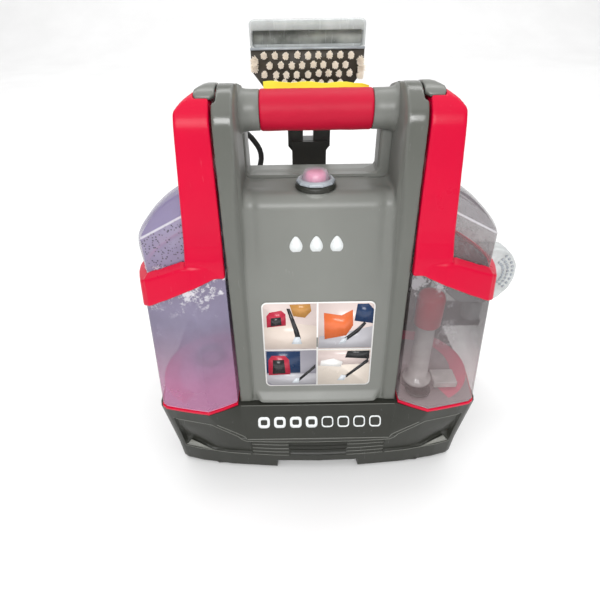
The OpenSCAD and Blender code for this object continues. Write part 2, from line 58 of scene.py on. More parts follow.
BODY_OF = {n: b for b, ns in frame["record"]["behaviour"]["bodies"].items() for n in ns}

base_lo, base_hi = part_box("base_tub")
MID_X = (base_lo.x + base_hi.x) / 2
SHIFT_Y = base_hi.y - 0.104


def at(x, y, z):
    """Millimetres from the machine's mid-plane, as a point of the row frame in metres."""
    return Vector((MID_X + x * MM, SHIFT_Y + y * MM, z * MM))


# ---- Driving sizes, as the CAD has them (mm) ----

BASE_Z = 84.0
TOP_Z = 368.0
COLUMN_OUT = 78.0
COLUMN_IN = 62.0
LEAN = math.radians(5.0)
PANEL_FOOT_Y = -95.0
SPLIT_Y = -29.0
CORNER_R = 30.0
HANDLE_Z = 346.0
GRIP_R = 15.5
TOOL_X = -4.0
TOOL_Y = 82.0
LEAD_R = 3.0
HOOK_TOP = (-112.0, 222.0)
HOOK_LOW = (-122.0, 132.0)


def front_y(z):
    return PANEL_FOOT_Y + (z - BASE_Z) * math.tan(LEAN)


# ---- Camera ----


def make_camera():
    data = bpy.data.cameras.new("camera")
    data.sensor_width = 36.0
    data.lens = 25.8
    data.clip_start = 0.01
    cam = bpy.data.objects.new("camera", data)
    bpy.context.scene.collection.objects.link(cam)
    pitch, yaw, roll = (math.radians(a) for a in (34.44, 0.14, -0.84))
    ahead = Vector((math.sin(yaw), math.cos(yaw), 0))
    right = Vector((math.cos(yaw), -math.sin(yaw), 0))
    up = Vector((0, 0, 1))
    look = ahead * math.cos(pitch) - up * math.sin(pitch)
    top = up * math.cos(pitch) + ahead * math.sin(pitch)
    side = right * math.cos(roll) + top * math.sin(roll)
    top = -right * math.sin(roll) + top * math.cos(roll)
    turn = Matrix((side, top, -look)).transposed()
    cam.matrix_world = Matrix.Translation(at(-17.1, -395.6, 414.3)) @ turn.to_4x4()
    bpy.context.scene.camera = cam


make_camera()


# ---- Cord ----

LEAD_ROUTE = [(-80, 92, 114), (-80, 92, 126), (-81, 92, 138), (-83, 92, 152), (-86, 92, 166)]
LOOSE_ROUTE = [
    (-79, 98, 226), (-81, 98, 240), (-87, 98, 255), (-95, 98, 269), (-101, 97, 283), (-99, 96, 297),
    (-89, 95, 305), (-75, 94, 302), (-63, 93, 291), (-57, 92, 278), (-59, 91, 264), (-63, 90, 249),
    (-66, 90, 234), (-67, 90, 218), (-66, 90, 202), (-63, 89, 186), (-59, 89, 170), (-55, 88, 154),
    (-53, 88, 140), (-52, 88, 126), (-52, 88, 114),
]


def winding_point(turn, r, y):
    """A point of one turn round the two hooks: turn 0 is half-way up the right-hand run."""
    dx, dz = HOOK_TOP[0] - HOOK_LOW[0], HOOK_TOP[1] - HOOK_LOW[1]
    run = math.hypot(dx, dz)
    tx, tz = dx / run, dz / run
    nx, nz = tz, -tx
    around = 2 * run + 2 * math.pi * r
    s = (turn % 1.0) * around + run / 2
    if s > around:
        s -= around
    if s < run:
        return (HOOK_LOW[0] + tx * s + nx * r, y, HOOK_LOW[1] + tz * s + nz * r)
    s -= run
    if s < math.pi * r:
        a = s / r
        c, d = math.cos(a) * r, math.sin(a) * r
        return (HOOK_TOP[0] + nx * c + tx * d, y, HOOK_TOP[1] + nz * c + tz * d)
    s -= math.pi * r
    if s < run:
        return (HOOK_TOP[0] - tx * s - nx * r, y, HOOK_TOP[1] - tz * s - nz * r)
    a = (s - run) / r
    c, d = math.cos(a) * r, math.sin(a) * r
    return (HOOK_LOW[0] - nx * c - tx * d, y, HOOK_LOW[1] - nz * c - tz * d)


def winding_points():
    """Six turns towards the housing on the inner layer, then six turns back on the outer one."""
    turns, steps, pitch = 6, 28, 6.3
    out = []
    for layer, r in enumerate((28.4, 34.3)):
        for i in range(turns * steps):
            share = i / steps
            y = 98.5 - pitch * share if layer == 0 else 67.0 + pitch * share - 1.0
            out.append(winding_point(share + 0.02, r, max(67.3, min(98.7, y))))
    return out


def make_cord():
    route = [at(*p) for p in LEAD_ROUTE + winding_points() + LOOSE_ROUTE]
    curve = bpy.data.curves.new("mains_cord", "CURVE")
    curve.dimensions = "3D"
    curve.bevel_depth = LEAD_R * MM
    curve.bevel_resolution = 4
    curve.resolution_u = 3
    curve.use_fill_caps = True
    spline = curve.splines.new("BEZIER")
    spline.bezier_points.add(len(route) - 1)
    for p, co in zip(spline.bezier_points, route):
        p.co = co
        p.handle_left_type = p.handle_right_type = "AUTO"
    obj = bpy.data.objects.new("mains_cord", curve)
    bpy.context.scene.collection.objects.link(obj)
    return obj, route


cord, cord_route = make_cord()


# ---- Material nodes ----


class Shader:
    """A Principled material with short calls for the procedural parts."""

    def __init__(self, name, color, rough, **sockets):
        self.mat = bpy.data.materials.new(name)
        self.mat.use_nodes = True
        self.tree = self.mat.node_tree
        self.bsdf = self.tree.nodes["Principled BSDF"]
        self.color = (*color, 1.0)
        self.set("Base Color", self.color)
        self.set("Roughness", rough)
        for key, value in sockets.items():
            self.set(key.replace("_", " "), value)
        self.coords = self.tree.nodes.new("ShaderNodeTexCoord").outputs["Object"]

    def set(self, socket, value):
        self.bsdf.inputs[socket].default_value = value

    def node(self, kind, **inputs):
        n = self.tree.nodes.new(kind)
        for key, value in inputs.items():
            s = n.inputs[key.replace("_", " ")]
            if isinstance(value, bpy.types.NodeSocket):
                self.tree.links.new(value, s)
            else:
                s.default_value = value
        return n

    def link(self, out, socket):
        self.tree.links.new(out, self.bsdf.inputs[socket])

    def noise(self, scale, detail=3.0, rough=0.55, vector=None):
        n = self.node("ShaderNodeTexNoise", Vector=vector or self.coords, Scale=scale, Detail=detail,
                      Roughness=rough)
        return n.outputs["Fac"]

    def cells(self, scale, vector=None):
        n = self.node("ShaderNodeTexVoronoi", Vector=vector or self.coords, Scale=scale)
        return n.outputs["Distance"]

    def steps(self, fac, *stops):
        """A colour ramp: stops are (position, value or colour)."""
        n = self.node("ShaderNodeValToRGB", Fac=fac)
        ramp = n.color_ramp
        while len(ramp.elements) < len(stops):
            ramp.elements.new(0.5)
        for e, (pos, value) in zip(ramp.elements, stops):
            e.position = pos
            e.color = (value, value, value, 1) if isinstance(value, (int, float)) else (*value, 1)
        return n.outputs["Color"]

    def math(self, kind, a, b=0.0, clamp=False):
        n = self.tree.nodes.new("ShaderNodeMath")
        n.operation = kind
        n.use_clamp = clamp
        for s, value in zip(n.inputs, (a, b)):
            if isinstance(value, bpy.types.NodeSocket):
                self.tree.links.new(value, s)
            else:
                s.default_value = value
        return n.outputs["Value"]

    def mix(self, fac, a, b):
        n = self.tree.nodes.new("ShaderNodeMix")
        n.data_type = "RGBA"
        for s, value in ((n.inputs[0], fac), (n.inputs[6], a), (n.inputs[7], b)):
            if isinstance(value, bpy.types.NodeSocket):
                self.tree.links.new(value, s)
            elif isinstance(value, (int, float)):
                s.default_value = value
            else:
                s.default_value = (*value, 1) if len(value) == 3 else value
        return n.outputs[2]

    def axis(self, name):
        n = self.node("ShaderNodeSeparateXYZ", Vector=self.coords)
        return n.outputs[name]

    def bump(self, height, distance, strength=0.5):
        n = self.node("ShaderNodeBump", Height=height, Distance=distance, Strength=strength)
        self.link(n.outputs["Normal"], "Normal")


def shade(color, k):
    return tuple(max(0.0, min(1.0, c * k)) for c in color)


def plastic(name, color, rough, grain=1500, depth=0.00006, spread=0.10, scuffs=0.0, **sockets):
    """Moulded plastic: fine spark-eroded grain, slow colour drift, and a few pale scuffs."""
    s = Shader(name, color, rough, **sockets)
    drift = s.steps(s.noise(9.0, 4.0), (0.3, shade(color, 1 - spread)), (0.7, shade(color, 1 + spread)))
    out = drift
    if scuffs:
        lines = s.node("ShaderNodeMapping", Vector=s.coords)
        lines.inputs["Scale"].default_value = (1.0, 1.0, 0.12)
        lines.inputs["Rotation"].default_value = (0.2, 0.5, 0.3)
        marks = s.steps(s.noise(420.0, 2.0, 0.7, lines.outputs["Vector"]), (0.66, 0.0), (0.72, 1.0))
        patches = s.steps(s.noise(24.0, 2.0), (0.52, 0.0), (0.62, 1.0))
        both = s.math("MULTIPLY", marks, patches)
        out = s.mix(s.math("MULTIPLY", both, scuffs), drift, tuple(min(1, c * 0.6 + 0.35) for c in color))
    s.link(out, "Base Color")
    wear = s.noise(40.0, 5.0)
    rough_map = s.math("ADD", s.math("MULTIPLY", wear, 0.16), rough - 0.08)
    s.link(rough_map, "Roughness")
    s.bump(s.noise(grain, 2.0), depth, 0.35)
    return s.mat


GREY = (0.165, 0.170, 0.155)
# Darker grey for the columns: painted dark reflection on their glossier face, not a different plastic.
COLUMN_GREY_PAINTED_REFLECTION = (0.108, 0.112, 0.099)
DARK_GREY = (0.025, 0.026, 0.021)
RED = (0.56, 0.000, 0.030)
CRIMSON = (0.46, 0.001, 0.026)
BLACK = (0.016, 0.015, 0.013)


def two_tone(name, middle, outer, limit):
    """Body plastic: satin in the middle panel, painted lighter towards its centre as a painted broad sheen, and
    glossier on the columns beyond limit, where a darker grey stands in as painted dark reflection.
    """
    s = Shader(name, middle, 0.40)
    away = s.math("ABSOLUTE", s.math("SUBTRACT", s.axis("X"), MID_X))
    column = s.math("DIVIDE", s.math("SUBTRACT", away, limit - 0.002), 0.004, clamp=True)
    # Painted sheen: the panel's grey is lighter near the middle and darker towards the columns, a painted broad
    # reflection.
    painted_centre_sheen = s.math("SUBTRACT", 1.0, s.math("DIVIDE", away, 0.075, clamp=True))
    tone = s.mix(column, s.mix(painted_centre_sheen, shade(middle, 0.90), shade(middle, 1.12)), outer)
    drift = s.steps(s.noise(9.0, 4.0), (0.3, 0.93), (0.7, 1.07))
    toned = s.node("ShaderNodeMix", Factor=1.0)
    toned.data_type = "RGBA"
    toned.blend_type = "MULTIPLY"
    s.tree.links.new(tone, toned.inputs[6])
    s.tree.links.new(drift, toned.inputs[7])
    lines = s.node("ShaderNodeMapping", Vector=s.coords)
    lines.inputs["Scale"].default_value = (1.0, 1.0, 0.10)
    lines.inputs["Rotation"].default_value = (0.1, 0.3, 0.2)
    marks = s.steps(s.noise(460.0, 2.0, 0.7, lines.outputs["Vector"]), (0.68, 0.0), (0.74, 1.0))
    patches = s.steps(s.noise(24.0, 2.0), (0.52, 0.0), (0.62, 1.0))
    both = s.math("MULTIPLY", s.math("MULTIPLY", marks, patches), 0.22)
    s.link(s.mix(both, toned.outputs[2], (0.42, 0.43, 0.42)), "Base Color")
    rough = s.math("ADD", s.math("MULTIPLY", s.noise(40.0, 5.0), 0.12), 0.32)
    s.link(s.math("SUBTRACT", rough, s.math("MULTIPLY", column, 0.19)), "Roughness")
    s.bump(s.noise(1500.0, 2.0), 0.00005, 0.3)
    return s.mat


mat = {
    "body": two_tone("body_grey", GREY, COLUMN_GREY_PAINTED_REFLECTION, 0.0630),
    "cap": plastic("latch_grey", (0.15, 0.155, 0.14), 0.30, scuffs=0.2),
    "base": plastic("base_grey", DARK_GREY, 0.38, scuffs=0.18, Specular_IOR_Level=0.35),
    # Pale grey of the edge beads: painted highlight along the base's creases, ribs and seam.
    "edge": plastic("base_edge_highlights", (0.125, 0.128, 0.112), 0.35),
    # Lighter grey of the corner facets: painted highlight on faces turned up to the light.
    "facet": plastic("base_facet", (0.21, 0.212, 0.19), 0.35),
    "red": plastic("arm_red", RED, 0.30, grain=1800, depth=0.00003, spread=0.05, scuffs=0.10,
                   Specular_IOR_Level=0.20),
    "grip": plastic("grip_red", CRIMSON, 0.50, grain=2600, depth=0.0001, spread=0.08,
                    Specular_IOR_Level=0.25),
    "black": plastic("black_plastic", BLACK, 0.34, spread=0.2, scuffs=0.2),
    "rubber": plastic("black_rubber", (0.016, 0.016, 0.016), 0.62, grain=2200, depth=0.00008),
    "steel": plastic("steel", (0.55, 0.55, 0.56), 0.28, Metallic=1.0),
    "alloy": plastic("motor_alloy", (0.60, 0.60, 0.62), 0.35, Metallic=1.0),
    "brass": plastic("brass", (0.72, 0.52, 0.22), 0.25, Metallic=1.0),
    "white": plastic("white_plastic", (0.80, 0.80, 0.77), 0.40),
    "yellow": plastic("yellow_tape", (0.93, 0.93, 0.07), 0.45, spread=0.06),
}


# ---- Mesh helpers ----


def new_object(name, bm, material):
    bmesh.ops.recalc_face_normals(bm, faces=bm.faces)
    mesh = bpy.data.meshes.new(name)
    for f in bm.faces:
        f.smooth = True
    bm.to_mesh(mesh)
    bm.free()
    obj = bpy.data.objects.new(name, mesh)
    bpy.context.scene.collection.objects.link(obj)
    mesh.materials.append(material)
    return obj


def soften(obj, width, segments=3, angle=32.0):
    """Rounded edges, on mm width, wherever the faces turn by more than angle degrees."""
    if width:
        b = obj.modifiers.new("edges", "BEVEL")
        b.width = width * MM
        b.segments = segments
        b.limit_method = "ANGLE"
        b.angle_limit = math.radians(angle)
        b.use_clamp_overlap = True
        b.harden_normals = False
    w = obj.modifiers.new("normals", "WEIGHTED_NORMAL")
    w.keep_sharp = True
    return obj


def place(obj, body, replaces=()):
    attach(obj, body)
    if replaces:
        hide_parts(*replaces)
    return obj


SLOT = {r["node"]: r["material_slot"] for r in frame["record"]["subparts"]}
SLOT_MATERIAL = {
    "body_grey": "body", "base_grey": "base", "arm_red": "red", "grip_red": "grip",
    "black_plastic": "black", "black_rubber": "rubber", "steel": "steel", "motor_alloy": "alloy",
    "white_plastic": "white", "brass_pins": "brass", "yellow_tape": "yellow",
}


def rounded(node, width=0.8, material=None, angle=32.0, segments=3, warp=None):
    """The node's own shape with merged flat faces and rounded edges, in place of the plain node."""
    bm = bmesh.new()
    bm.from_mesh(NODES[node].data)
    bmesh.ops.remove_doubles(bm, verts=bm.verts, dist=2e-6)
    bmesh.ops.dissolve_limit(bm, angle_limit=math.radians(1.0), verts=bm.verts, edges=bm.edges)
    if warp:
        for v in bm.verts:
            v.co = at(*warp((v.co.x - MID_X) / MM, (v.co.y - SHIFT_Y) / MM, v.co.z / MM))
    obj = new_object(node + "_piece", bm, material or mat[SLOT_MATERIAL[SLOT[node]]])
    soften(obj, width, segments, angle)
    return place(obj, BODY_OF[node], (node,))


# ---- More shape helpers ----


def smooth_step(t):
    t = max(0.0, min(1.0, t))
    return t * t * (3 - 2 * t)


def clamp01(t):
    return max(0.0, min(1.0, t))


def lerp(a, b, t):
    return a + (b - a) * t


def along(points, x):
    """The height at x of the broken line through points, held level past its ends."""
    if x <= points[0][0]:
        return points[0][1]
    for (x0, y0), (x1, y1) in zip(points, points[1:]):
        if x <= x1:
            return lerp(y0, y1, (x - x0) / (x1 - x0))
    return points[-1][1]


def crown(y, z):
    """Height z after the tops of the columns and arms fall away towards the back."""
    fall = 2.0 + 0.2 * (y + 32) if y > -32 else 0.005 * max(0.0, y + 52) ** 2
    return z - min(fall, 9.0) * clamp01((z - 325) / 38)


def arc(cx, cy, r, a0, a1, n):
    out = []
    for i in range(n + 1):
        a = math.radians(lerp(a0, a1, i / n))
        out.append((cx + r * math.cos(a), cy + r * math.sin(a)))
    return out


def divide(points, step):
    """The same broken line with a point at least every step."""
    out = [points[0]]
    for p, q in zip(points, points[1:]):
        n = max(1, math.ceil(math.dist(p, q) / step))
        out += [tuple(lerp(a, b, i / n) for a, b in zip(p, q)) for i in range(1, n + 1)]
    return out


def offset_inwards(points, d):
    """A closed outline moved d inwards; it runs so that its inside is on the right."""
    out = []
    n = len(points)
    for i, p in enumerate(points):
        a, b = points[i - 1], points[(i + 1) % n]
        tx, ty = b[0] - a[0], b[1] - a[1]
        length = math.hypot(tx, ty) or 1.0
        out.append((p[0] + ty / length * d, p[1] - tx / length * d))
    return out


def loft(name, rings, material, closed=True, capped=True):
    """Quads between rings of equal length, in mm; closed rings get flat caps at the two ends."""
    bm = bmesh.new()
    verts = [[bm.verts.new(at(*p)) for p in ring] for ring in rings]
    n = len(rings[0])
    for r0, r1 in zip(verts, verts[1:]):
        for i in range(n if closed else n - 1):
            j = (i + 1) % n
            bm.faces.new((r0[i], r0[j], r1[j], r1[i]))
    if closed and capped:
        bm.faces.new(verts[0])
        bm.faces.new(verts[-1])
    return new_object(name, bm, material)


def lathe(name, profile, centre, material, axis="z", steps=48):
    """A turned piece: profile is (radius, height) in mm about an axis through centre."""
    rings = []
    for r, h in profile:
        ring = []
        for k in range(steps):
            a = 2 * math.pi * k / steps
            c, d = r * math.cos(a), r * math.sin(a)
            local = {"z": (c, d, h), "x": (h, c, d), "y": (c, h, d)}[axis]
            ring.append(tuple(o + v for o, v in zip(centre, local)))
        rings.append(ring)
    return loft(name, rings, material)


def block(name, lo, hi, material, edge=0.6):
    """A small moulded block with rounded edges."""
    (x0, y0, z0), (x1, y1, z1) = lo, hi
    rings = [[(x0, y0, z), (x1, y0, z), (x1, y1, z), (x0, y1, z)] for z in (z0, z1)]
    return soften(loft(name, rings, material), edge)


def join(name, parts):
    """One object out of several, with the modifiers of each applied."""
    deps = bpy.context.evaluated_depsgraph_get()
    bpy.context.view_layer.update()
    deps.update()
    bm = bmesh.new()
    for p in parts:
        mesh = bpy.data.meshes.new_from_object(p.evaluated_get(deps))
        mesh.transform(p.matrix_world)
        bm.from_mesh(mesh)
        bpy.data.meshes.remove(mesh)
    material = parts[0].data.materials[0]
    for p in parts:
        bpy.data.objects.remove(p)
    mesh = bpy.data.meshes.new(name)
    bm.to_mesh(mesh)
    bm.free()
    obj = bpy.data.objects.new(name, mesh)
    bpy.context.scene.collection.objects.link(obj)
    mesh.materials.clear()
    mesh.materials.append(material)
    mesh.polygons.foreach_set("use_smooth", [True] * len(mesh.polygons))
    return obj


def fuse(name, parts, voxel, rounds, keep=0.5, cutters=()):
    """One closed moulding out of overlapping parts, with its edges and inner corners eased."""
    obj = join(name, parts)
    m = obj.modifiers.new("one_skin", "REMESH")
    m.mode = "VOXEL"
    m.voxel_size = voxel * MM
    m.use_smooth_shade = True
    s = obj.modifiers.new("ease", "SMOOTH")
    s.factor = 0.5
    s.iterations = rounds
    for cutter in cutters:
        c = obj.modifiers.new("pocket", "BOOLEAN")
        c.operation = "DIFFERENCE"
        c.solver = "EXACT"
        c.object = cutter
    d = obj.modifiers.new("lighter", "DECIMATE")
    d.ratio = keep
    out = join(name, [obj])
    for cutter in cutters:
        bpy.data.objects.remove(cutter)
    drop_crumbs(out)
    return out


def drop_crumbs(obj):
    """Takes off the loose slivers that the cuts leave, keeping the one moulding."""
    bm = bmesh.new()
    bm.from_mesh(obj.data)
    islands, seen = [], set()
    for start in bm.verts:
        if start in seen:
            continue
        island, stack = [], [start]
        seen.add(start)
        while stack:
            v = stack.pop()
            island.append(v)
            for e in v.link_edges:
                other = e.other_vert(v)
                if other not in seen:
                    seen.add(other)
                    stack.append(other)
        islands.append(island)
    biggest = max(islands, key=len)
    loose = [v for island in islands if island is not biggest for v in island]
    bmesh.ops.delete(bm, geom=loose, context="VERTS")
    bm.to_mesh(obj.data)
    bm.free()


# ---- Translucent and printed finishes ----

LILAC = (0.175, 0.152, 0.240)
CLEAR_GREY = (0.120, 0.106, 0.110)


def tank_finish(name, color, alpha, foam, speckle, painted_tray_glow):
    """See-through plastic, cloudy in patches, with dried foam under the band and droplets; a painted highlight along
    the window's crease, and a painted pink glow of the red tray low down.
    """
    s = Shader(name, color, 0.20)
    z = s.axis("Z")
    cloud = s.steps(s.noise(13.0, 5.0, 0.6), (0.36, 0.0), (0.72, 1.0))
    under = s.math("MULTIPLY", s.steps(z, (0.186, 0.0), (0.216, 1.0)), s.steps(z, (0.229, 1.0), (0.234, 0.0)))
    grown = s.math("ADD", s.noise(70.0, 8.0, 0.75), s.math("MULTIPLY", under, 0.13))
    patches = s.math("MULTIPLY", s.steps(grown, (0.60, 0.0), (0.66, 1.0)), under)
    wisps = s.steps(s.noise(26.0, 9.0, 0.72), (0.60, 0.0), (0.80, 1.0))
    below = s.steps(z, (0.224, 1.0), (0.232, 0.0))
    foam_and_crease_highlight = s.math("ADD", s.math("MULTIPLY", patches, foam), s.math("MULTIPLY", s.math("MULTIPLY", wisps, below),
                                                                      0.35), clamp=True)
    away = s.math("ABSOLUTE", s.math("SUBTRACT", s.axis("X"), MID_X))
    over = s.math("SUBTRACT", s.math("ADD", z, s.math("MULTIPLY", away, 0.5)), 0.331)
    over = s.math("MULTIPLY", over, 100.0)
    dots = s.steps(s.cells(430.0), (0.26, 1.0), (0.36, 0.0))
    where = s.steps(s.noise(90.0, 2.0), (0.36, 0.0), (0.46, 1.0))
    dome = s.steps(s.math("ADD", over, 0.5), (0.49, 0.0), (0.51, 1.0))
    # A pale line along the crease between window and dome: painted highlight on that edge, added to the foam colour
    # below.
    rim = s.math("MULTIPLY", s.steps(s.math("ABSOLUTE", over), (0.05, 1.0), (0.14, 0.0)),
                 s.steps(z, (0.2540, 0.0), (0.2545, 1.0)))
    window = s.math("MULTIPLY", s.steps(z, (0.222, 0.0), (0.230, 1.0)), s.math("SUBTRACT", 1.0, dome))
    drops = s.math("MULTIPLY", s.math("MULTIPLY", dots, where), s.math("MULTIPLY", window, speckle))
    tint = s.mix(cloud, shade(color, 0.84), tuple(min(1, c * 1.30 + 0.02) for c in color))
    bright = s.steps(z, (0.222, 0.0), (0.232, 1.0))
    tint = s.mix(s.math("MULTIPLY", bright, 0.85), tint, shade(color, 1.50))
    tint = s.mix(s.math("MULTIPLY", dome, 0.75), tint, tuple(c * k for c, k in zip(color, (1.25, 1.22, 1.38))))
    # Towards the floor the wall takes a pink tint: painted glow of the red tray and its arch seen through the wall.
    low = s.steps(z, (0.110, 1.0), (0.180, 0.0))
    tint = s.mix(s.math("MULTIPLY", low, 0.65), tint, painted_tray_glow)
    deep = s.math("MULTIPLY", s.steps(z, (0.120, 0.0), (0.160, 1.0)), s.steps(z, (0.218, 1.0), (0.230, 0.0)))
    tint = s.mix(s.math("MULTIPLY", deep, 0.5), tint, shade(color, 0.66))
    tint = s.mix(drops, tint, shade(color, 0.18))
    foam_and_crease_highlight = s.math("ADD", foam_and_crease_highlight, s.math("MULTIPLY", rim, 0.7), clamp=True)
    s.link(s.mix(foam_and_crease_highlight, tint, (0.66, 0.65, 0.68)), "Base Color")
    veil = s.math("ADD", s.math("MULTIPLY", cloud, 0.16), alpha)
    veil = s.math("SUBTRACT", veil, s.math("MULTIPLY", low, 0.20))
    middle = s.math("MULTIPLY", s.steps(z, (0.105, 0.0), (0.150, 1.0)), s.steps(z, (0.214, 1.0), (0.228, 0.0)))
    veil = s.math("ADD", veil, s.math("MULTIPLY", middle, 0.14))
    veil = s.math("ADD", veil, s.math("MULTIPLY", foam_and_crease_highlight, 0.35))
    s.link(s.math("ADD", veil, s.math("MULTIPLY", drops, 0.5), clamp=True), "Alpha")
    s.link(s.math("ADD", s.math("MULTIPLY", foam_and_crease_highlight, 0.4), 0.20), "Roughness")
    s.bump(s.math("ADD", foam_and_crease_highlight, s.math("MULTIPLY", drops, 0.5)), 0.0005, 0.5)
    s.set("Specular IOR Level", 0.6)
    return s.mat


def clear_finish(name, color, alpha, rough=0.12, streaks=0.0):
    s = Shader(name, color, rough)
    haze = s.steps(s.noise(60.0, 4.0), (0.35, 0.0), (0.8, 1.0))
    s.link(s.mix(haze, shade(color, 0.85), shade(color, 1.15)), "Base Color")
    veil = s.math("ADD", s.math("MULTIPLY", haze, 0.18), alpha)
    if streaks:
        tall = s.node("ShaderNodeMapping", Vector=s.coords)
        tall.inputs["Scale"].default_value = (1.0, 1.0, 0.06)
        runs = s.steps(s.noise(520.0, 2.0, 0.6, tall.outputs["Vector"]), (0.66, 0.0), (0.74, 1.0))
        veil = s.math("ADD", veil, s.math("MULTIPLY", runs, streaks))
    s.link(s.math("ADD", veil, 0.0, clamp=True), "Alpha")
    s.bump(s.noise(300.0, 2.0), 0.0001, 0.3)
    s.set("Specular IOR Level", 0.7)
    return s.mat


def throat_finish():
    """Dark wet throat of the nozzle with pale drops and runs."""
    s = Shader("throat", (0.24, 0.245, 0.23), 0.25)
    tall = s.node("ShaderNodeMapping", Vector=s.coords)
    tall.inputs["Scale"].default_value = (1.0, 1.0, 0.12)
    runs = s.steps(s.noise(420.0, 3.0, 0.7, tall.outputs["Vector"]), (0.58, 0.0), (0.70, 1.0))
    spots = s.steps(s.cells(330.0), (0.10, 1.0), (0.22, 0.0))
    pale = s.math("ADD", s.math("MULTIPLY", runs, 0.65), s.math("MULTIPLY", spots, 0.35), clamp=True)
    base = s.steps(s.noise(34.0, 3.0), (0.3, (0.13, 0.14, 0.13)), (0.75, (0.62, 0.63, 0.60)))
    s.link(s.mix(pale, base, (0.50, 0.52, 0.51)), "Base Color")
    s.bump(pale, 0.0003, 0.4)
    return s.mat


mat["lilac"] = tank_finish("lilac_clear", LILAC, 0.72, 1.0, 0.9, (0.44, 0.145, 0.285))
mat["clear"] = tank_finish("tank_clear", CLEAR_GREY, 0.50, 0.35, 0.30, (0.34, 0.25, 0.25))
mat["nozzle"] = clear_finish("nozzle_clear", (0.62, 0.65, 0.65), 0.66, streaks=0.4)
mat["pipe"] = clear_finish("pipe_clear", (0.50, 0.48, 0.47), 0.72)
mat["fog"] = clear_finish("tank_fog", (0.36, 0.32, 0.34), 0.80)
mat["blush"] = plastic("tray_blush", (0.62, 0.26, 0.40), 0.5, spread=0.2)
mat["arch"] = plastic("tray_arch", (0.72, 0.07, 0.17), 0.4, spread=0.12)
mat["boot"] = clear_finish("button_boot", (0.70, 0.56, 0.66), 0.40, rough=0.3)
mat["ring"] = clear_finish("button_ring", (0.44, 0.48, 0.52), 0.70, rough=0.25)
mat["throat"] = throat_finish()
mat["pink"] = plastic("button_pink", (0.90, 0.10, 0.32), 0.4)
mat["bristle"] = plastic("bristle", (0.88, 0.80, 0.70), 0.7, grain=3000, depth=0.0003, spread=0.14)
mat["mark"] = plastic("pale_mark", (0.74, 0.77, 0.77), 0.4, spread=0.03)
mat["plate"] = plastic("brush_plate", (0.045, 0.038, 0.028), 0.5, spread=0.25)
SLOT_MATERIAL.update(lilac_clear="lilac", grey_clear="clear", label="mark", cream_bristle="bristle",
                     button_pink="pink")


# ---- Base ----

CREASE_HIGH = [(72, 51), (101, 69.5), (107, BASE_Z)]
CREASE_LOW = [(73, 45.5), (107, 69), (145, 70)]
FOOT_LINE = [(70, 22.5), (144, 25)]
RIB_TOPS = [45.5, 39.5, 33.5, 28.0, 22.5]
NOTCH_HALF = 43.0
NOTCH_TOP = 14.0
RIB_HALF = 69.0
VENT_HALF = 29.5


def base_half(z):
    return along([(2, 149), (26, 151), (BASE_Z, 159.5)], z)


FOOT_PLAN = [(0, -114.6), (44, -113.4), (93, -109.4), (127, -103.9), (146, -98.8), (151, -95)]
DECK_PLAN = [(0, -113.6), (78, -113.4), (107.5, -111.6), (143, -103.6), (155, -99.4), (159.5, -96)]


def hull_front(x, z):
    """Front of the base without its slope and panels: a gentle bow low down, faceted at the top."""
    a, h = abs(x), base_half(z)
    t = clamp01((z - 24) / (BASE_Z - 24))
    share = a / h
    low = along(FOOT_PLAN, share * 151)
    high = along(DECK_PLAN, share * 159.5)
    corner = clamp01((a - (h - 9)) / 9)
    return lerp(low, high, t) + 3.0 * corner ** 3


def base_front(x, z):
    a = abs(x)
    y = hull_front(x, z)
    if z > 51:
        top_share = (z - 51) / (BASE_Z - 51)
        slope_y = lerp(-115.2, -99.0, top_share)
        x0 = lerp(72, 78, top_share)
        x1 = along([(51, 72.2), (69.5, 101), (BASE_Z, 107)], z)
        if a < x0:
            return slope_y
        if a < x1:
            return lerp(slope_y, y, (a - x0) / (x1 - x0))
        return y
    step = -1.3 * clamp01((z - 45.8) / 0.6) * clamp01((51 - z) / 0.6)
    low, foot = along(CREASE_LOW, a), along(FOOT_LINE, a)
    if a < RIB_HALF and RIB_TOPS[-1] < z < RIB_TOPS[0]:
        side = clamp01((RIB_HALF - a) / 1.5)
        for top, bottom in zip(RIB_TOPS, RIB_TOPS[1:]):
            if bottom <= z < top:
                t = (top - z) / (top - bottom)
                deep = 7.5 if a < VENT_HALF else 3.4
                shelf = 0.2 if a < VENT_HALF else 0.0
                return y + side * lerp(deep, shelf, smooth_step(t * 1.15)) * clamp01((top - z) / 0.45)
    if z < NOTCH_TOP and a < NOTCH_HALF:
        return y + 13.0 * clamp01((NOTCH_TOP - z) / 0.6) * clamp01((NOTCH_HALF - a) / 0.8)
    if foot < z < low:
        return y + panel_depth(a, z, low, foot)
    return y + step


def panel_depth(a, z, low, foot):
    """Sunk side panel, deepest at its lower outer corner where its floor turns up to the light."""
    side = clamp01((base_half(z) - 10.5 - a) / 1.8)
    corner = smooth_step((a - 104) / 34)
    ramp = lerp(0.8, 12.5, corner)
    deep = lerp(2.4, 8.5, corner * smooth_step((60 - z) / 45))
    return deep * clamp01((low - z) / 1.0) * clamp01((z - foot) / ramp) * side


def base_low_crease(x, z):
    """Recess under the lower crease where it runs above the slope's foot."""
    a = abs(x)
    if z <= 51 or a < 73:
        return 0.0
    return panel_depth(a, z, along(CREASE_LOW, a), along(FOOT_LINE, a))


